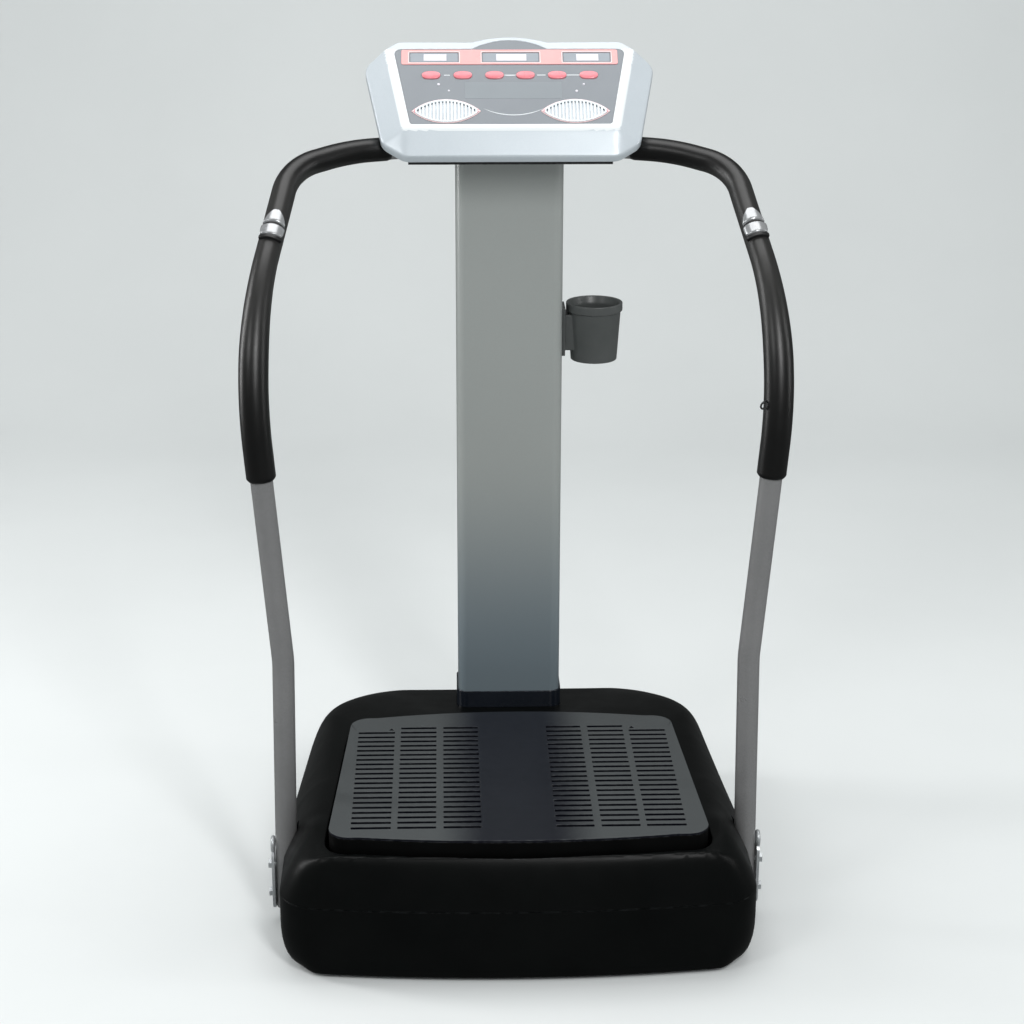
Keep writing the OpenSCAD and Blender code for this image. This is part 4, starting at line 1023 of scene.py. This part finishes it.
def base_plan():
    w, rear = BASE_HALF_WIDTH, BASE_REAR_HALF_WIDTH
    corners = [(-w, -60), (-w, BASE_FRONT_Y), (w, BASE_FRONT_Y), (w, -60),
               (rear, BASE_REAR_Y), (-rear, BASE_REAR_Y)]
    seg = 22
    body = round_poly(corners, [0, FRONT_CORNER, FRONT_CORNER, 0, 150, 150], seg)
    # the front bow goes in after the plain first corner and the rounded second one
    split = 1 + seg + 1
    return body[:split] + circle_bow(BASE_FRONT_Y, w - FRONT_CORNER, 17) + body[split:]


def opening_plan(gap):
    corners = [(-271 - gap, -300 - gap), (271 + gap, -300 - gap),
               (250 + gap, 107 + gap), (-250 - gap, 107 + gap)]
    return round_poly(corners, [30 + gap] * 4, 14)


def outline_normals(points):
    """Outward normals of a counter-clockwise outline, taken over three points each way."""
    normals = []
    for i in range(len(points)):
        a, b = points[i - 3], points[(i + 3) % len(points)]
        normals.append(Vector((b[1] - a[1], a[0] - b[0])).normalized())
    return normals


def box_outline(x0, x1, y0, y1):
    return [(x0, y0), (x1, y0), (x1, y1), (x0, y1)]


PLAN = resample(base_plan(), 420)
PLAN_NORMALS = outline_normals(PLAN)
# the opening for the plate, and its bowed front and rear edges
OPENING = opening_plan(OPENING_GAP)
OPENING_FRONT = [(225, -290), (-225, -290)] + circle_bow(-300, 225, 16, OPENING_GAP)
OPENING_REAR = [(-x, -y) for x, y in
                [(210, -97), (-210, -97)] + circle_bow(-107, 210, 20, OPENING_GAP)]
# recesses for the handle tubes: outline, bottom, top
POCKETS = [(box_outline(321, 420, -169, -131), 0, 230),
           (box_outline(-420, -321, -169, -131), 0, 230)]
# rounded hole around the column
COLUMN_HOLE = (round_poly(box_outline(-85, 85, 219, 315), [19] * 4, 8), 100, 260)
# notches in the rear wall of the lower shell
REAR_CUTS = [(box_outline(x - 15, x + 15, 300, 400), 0, 56) for x in (-170, 170)]
REAR_CUTS += [(box_outline(-84.2, -35.8, 330, 400), 55.8, 84.2),
              (box_outline(4.8, 35.2, 330, 400), 57.8, 82.2)]


def pocket_wall(i):
    """Extra wall behind the recesses that take the handle tubes."""
    x, y = PLAN[i]
    return 0.0 if abs(x) < 300 else 24.0 * (1 - ease(23, 30, abs(y + 150)))


def opening_reach(centre, angle):
    """Distance from the centre to the edge of the plate opening at the angle."""
    reach = ray_reach(OPENING, centre, angle)
    for outline in (OPENING_FRONT, OPENING_REAR):
        reach = max(reach, ray_reach(outline, centre, angle) or reach)
    return reach


def shell_height(inset, normal, x, y):
    """Height of the upper shell at an inset from the plan, where the plan faces normal."""
    rise = DECK_Z - SEAM_Z
    side = SEAM_Z + rise * (1 - (1 - min(1.0, inset / 66)) ** 2.1)
    front = SEAM_Z + rise * (1 - (1 - min(1.0, inset / 25)) ** 1.75)
    rear = (SEAM_Z + 47 * (1 - (1 - min(1.0, inset / 26)) ** 2.4)
            + 28 * min(1.0, inset / 205) ** 0.95)
    to_front = max(0.0, -normal.y) ** 1.6
    to_rear = max(0.0, normal.y) ** 1.3
    to_side = abs(normal.x) ** 1.6
    z = (to_front * front + to_rear * rear + to_side * side) / (to_front + to_rear + to_side)
    # shoulders beside the feet of the handles
    z += 5.0 * math.exp(-((abs(x) - 297) / 25) ** 2 - ((y + 222) / 36) ** 2)
    # the side decks lie a little lower than the shoulders
    z -= 3.0 * math.exp(-((abs(x) - 300) / 26) ** 2 - ((y + 40) / 90) ** 2)
    return z


def cut_away(obj, prisms):
    """Cuts straight prisms, each (outline, z0, z1), out of a closed piece."""
    verts, faces = [], []
    for outline, z0, z1 in prisms:
        b, n = len(verts), len(outline)
        verts += [(x * MM, y * MM, z * MM) for z in (z0, z1) for x, y in outline]
        faces.append(tuple(b + i for i in range(n - 1, -1, -1)))
        faces.append(tuple(b + n + i for i in range(n)))
        faces += [(b + i, b + (i + 1) % n, b + n + (i + 1) % n, b + n + i) for i in range(n)]
    mesh = bpy.data.meshes.new("cutter")
    mesh.from_pydata(verts, [], faces)
    cutter = link_object("cutter", mesh)
    cut = obj.modifiers.new("cut", "BOOLEAN")
    cut.operation = "DIFFERENCE"
    cut.solver = "EXACT"
    cut.object = cutter
    bpy.context.view_layer.update()
    evaluated = obj.evaluated_get(bpy.context.evaluated_depsgraph_get())
    result = bpy.data.meshes.new_from_object(evaluated)
    obj.modifiers.remove(cut)
    obj.data = result
    bpy.data.objects.remove(cutter)
    shade(result, 32)


# Stations from the outline (0) to the opening (1), over the top and back underneath.
TOP_STATIONS = [0.004, 0.012, 0.022, 0.034, 0.048, 0.065, 0.085, 0.11, 0.14, 0.175,
                0.22, 0.28, 0.35, 0.43, 0.52, 0.62, 0.72, 0.82, 0.9, 0.955]
UNDER_STATIONS = [0.93, 0.8, 0.6, 0.4, 0.25, 0.15, 0.08, 0.03]
OPENING_EDGE = 1.8      # radius of the edge around the opening


def make_upper():
    centre = (0.0, -90.0)
    spokes = []
    for x, y in PLAN:
        angle = math.atan2(y - centre[1], x - centre[0])
        reach = opening_reach(centre, angle)
        inner = (centre[0] + reach * math.cos(angle), centre[1] + reach * math.sin(angle))
        length = math.hypot(x - inner[0], y - inner[1])
        spokes.append((Vector((x, y)), Vector(inner), length))
    rings = []

    def ring(inset_at, height=None, drop_at=lambda i: 0.0):
        """A ring at inset_at(i, length), at a height or drop_at(i) below the top."""
        points = []
        for i, (outer, inner, length) in enumerate(spokes):
            inset = min(inset_at(i, length), length)
            pos = outer + (inner - outer) * (inset / length)
            z = height
            if z is None:
                z = shell_height(inset, PLAN_NORMALS[i], pos.x, pos.y) - drop_at(i)
            points.append((pos.x, pos.y, z))
        rings.append(points)

    ring(lambda i, length: 0.9, SEAM_Z + 0.15)
    ring(lambda i, length: 0.25, SEAM_Z + 0.7)
    for f in TOP_STATIONS:
        ring(lambda i, length: max(f * length, 0.3 + f * 20))
    for k in range(4):
        a = math.radians(30 * k)
        ring(lambda i, length: length - OPENING_EDGE * (1 - math.sin(a)),
             drop_at=lambda i: OPENING_EDGE * (1 - math.cos(a)))
    ring(lambda i, length: length, 166.0)
    ring(lambda i, length: length - 3.0, 166.0)
    for f in UNDER_STATIONS:
        ring(lambda i, length: max(f * length, 3.0 + f * 20) + pocket_wall(i) * (1 - f),
             drop_at=lambda i: WALL + 0.45 * pocket_wall(i) * (1 - f))
    ring(lambda i, length: WALL + pocket_wall(i), SEAM_Z + 0.15)
    obj = skin("upper_moulding", rings, "shell", 32, ends="join")
    cut_away(obj, POCKETS + [COLUMN_HOLE])
    register(obj, replaces="upper_shell")


# Section of the lower shell: inset from the plan and height. It runs down the outside,
# along the turned-in floor and up the inside.
LOWER_OUTSIDE = [
    (0.9, 111.85), (0.25, 111.3), (0.0, 110.0), (0.0, 88.0), (0.0, 66.0),
    (0.4, 56.0), (1.6, 47.0), (3.8, 38.5), (7.0, 31.0), (11.2, 24.6),
    (16.2, 19.4), (22.0, 15.6), (28.0, 13.2), (34.0, 12.2), (44.0, 12.0)]
LOWER_FLOOR = [(44.0, 14.8), (33.0, 15.2), (26.0, 17.4)]
LOWER_INSIDE = [(18.5, 22.2), (12.0, 29.0), (7.4, 38.0), (4.6, 48.0), (3.4, 60.0),
                (WALL, 85.0), (WALL, 111.85)]


def make_lower():
    def ring(inset_at, height):
        points = []
        for i, ((x, y), normal) in enumerate(zip(PLAN, PLAN_NORMALS)):
            inset = inset_at(i)
            points.append((x - normal.x * inset, y - normal.y * inset, height))
        return points

    def tuck(i):
        """How much of the tabled inset the outside takes: more at the sides."""
        return 0.13 + 0.50 * ease(0.05, 0.75, abs(PLAN_NORMALS[i].x))

    rings = [ring(lambda i: inset * tuck(i), z - 6.0 * ease(62, 13, z))
             for inset, z in LOWER_OUTSIDE]
    rings += [ring(lambda i: inset, z) for inset, z in LOWER_FLOOR]
    rings += [ring(lambda i: max(inset, WALL + pocket_wall(i)), z) for inset, z in LOWER_INSIDE]
    obj = skin("lower_moulding", rings, "shell", 32, ends="join")
    cut_away(obj, POCKETS + REAR_CUTS)
    register(obj, replaces="lower_shell")


make_upper()
make_lower()

# ------------------------------------------------------------------ cover behind the console
# x and inset of the profile at the rounded right end, from the tip inwards
REAR_COVER_END = [(161, 5.5), (160.4, 2.9), (158.8, 1.1), (156, 0.2), (152, 0)]


def make_rear_cover():
    def profile(e):
        """The y and z outline of the cover, drawn in by e."""
        corners = [(172 + e, 1099 + e * 0.5), (221 + e * 0.4, 1075 + e), (234, 1067 + e),
                   (330 - e, 1067 + e), (330 - e, 1176 - e * 0.4),
                   console(0, 186 - e, -13.2)[1:], console(0, 14 + e, -13.2)[1:]]
        return resample(round_poly(corners, [6, 8, 4, 12, 16, 1.5, 1.5], 7), 120)

    stations = [(-x, e) for x, e in REAR_COVER_END]
    stations += [(x, 0) for x in (-100, -50, 0, 50, 100)]
    stations += REAR_COVER_END[::-1]
    rings = [[(x, y, z) for y, z in profile(e)] for x, e in stations]
    register(skin("rear_cover", rings, "rear", 40), replaces="console_rear")
    flat_piece("rear_plate", console_outline(3.6), -13.7, -11.4, "rear", soft=0.4)


make_rear_cover()


# ------------------------------------------------------------------ studio, in metres
def make_floor(half_width=9.0, bend_y=2.2, bend_radius=1.6, wall_height=7):
    """A floor that curves up into a backdrop behind the object."""
    profile = [(-half_width, 0.0)]
    for k in range(17):
        a = math.pi / 2 * k / 16
        profile.append((bend_y + bend_radius * math.sin(a), bend_radius * (1 - math.cos(a))))
    profile.append((bend_y + bend_radius, wall_height))
    verts = [(x, y, z) for y, z in profile for x in (-half_width, half_width)]
    faces = [(2 * i, 2 * i + 1, 2 * i + 3, 2 * i + 2) for i in range(len(profile) - 1)]
    paint = material("floor_pale", (0.74, 0.76, 0.76), (0.77, 0.79, 0.79), (0.55, 0.65),
                     cloud=1.2, grain=300, bump=0.02, spec=0.3)
    mesh = bpy.data.meshes.new("floor")
    mesh.from_pydata(verts, [], faces)
    for face in mesh.polygons:
        face.use_smooth = True
    mesh.materials.append(paint)
    obj = link_object("floor", mesh)
    obj.visible_glossy = False


# name, place, point aimed at, width and height, power in watts
LIGHTS = [
    ("key", (0.95, -3.1, 3.1), (0, 0, 0.7), (0.55, 1.7), 62),
    ("side_strip", (-2.7, 0.55, 1.5), (0, 0, 0.8), (0.5, 2.2), 34),
    ("fill", (-2.3, -2.2, 2.9), (0, 0, 0.6), (0.9, 0.9), 18),
    ("right_strip", (2.9, -0.4, 1.6), (0, 0, 0.7), (0.35, 2.0), 12),
    ("top", (0.0, 0.6, 3.6), (0, 0, 0.4), (2.6, 1.8), 44),
]


def make_light(name, place, target, size, power):
    light = bpy.data.lights.new(name, "AREA")
    light.shape = "RECTANGLE"
    light.size, light.size_y = size
    light.energy = power
    obj = link_object(name, light)
    obj.location = place
    aim = Vector(target) - Vector(place)
    obj.rotation_euler = aim.to_track_quat("-Z", "Y").to_euler()


def make_world():
    """A pale surround, dimmer in reflections than as a light."""
    world = bpy.data.worlds.new("world")
    bpy.context.scene.world = world
    world.use_nodes = True
    tree = world.node_tree
    background = tree.nodes["Background"]
    background.inputs[0].default_value = (0.86, 0.90, 0.90, 1)
    glossy = add_node(tree, "ShaderNodeLightPath").outputs["Is Glossy Ray"]
    strength = add_node(tree, "ShaderNodeMapRange",
                        {"Value": glossy, "To Min": 0.55, "To Max": 0.13})
    tree.links.new(strength.outputs[0], background.inputs[1])


def make_camera(yaw, pitch, roll):
    """A camera in front; the angles are in degrees, yaw to the right and pitch downwards."""
    yaw, pitch, roll = math.radians(yaw), math.radians(pitch), math.radians(roll)
    data = bpy.data.cameras.new("camera")
    camera = link_object("camera", data)
    data.lens = 77.8
    data.sensor_width = 36
    data.clip_end = 60
    camera.location = (-0.09975, -3.09467, 1.64166)
    forward = Vector((math.sin(yaw) * math.cos(pitch), math.cos(yaw) * math.cos(pitch),
                      -math.sin(pitch)))
    camera.rotation_mode = "QUATERNION"
    camera.rotation_quaternion = (forward.to_track_quat("-Z", "Y")
                                  @ Quaternion((0, 0, 1), roll))
    bpy.context.scene.camera = camera


make_floor()
for row in LIGHTS:
    make_light(*row)
make_world()
make_camera(yaw=1.80, pitch=18.80, roll=0.13)
bpy.context.scene.view_settings.view_transform = "Standard"
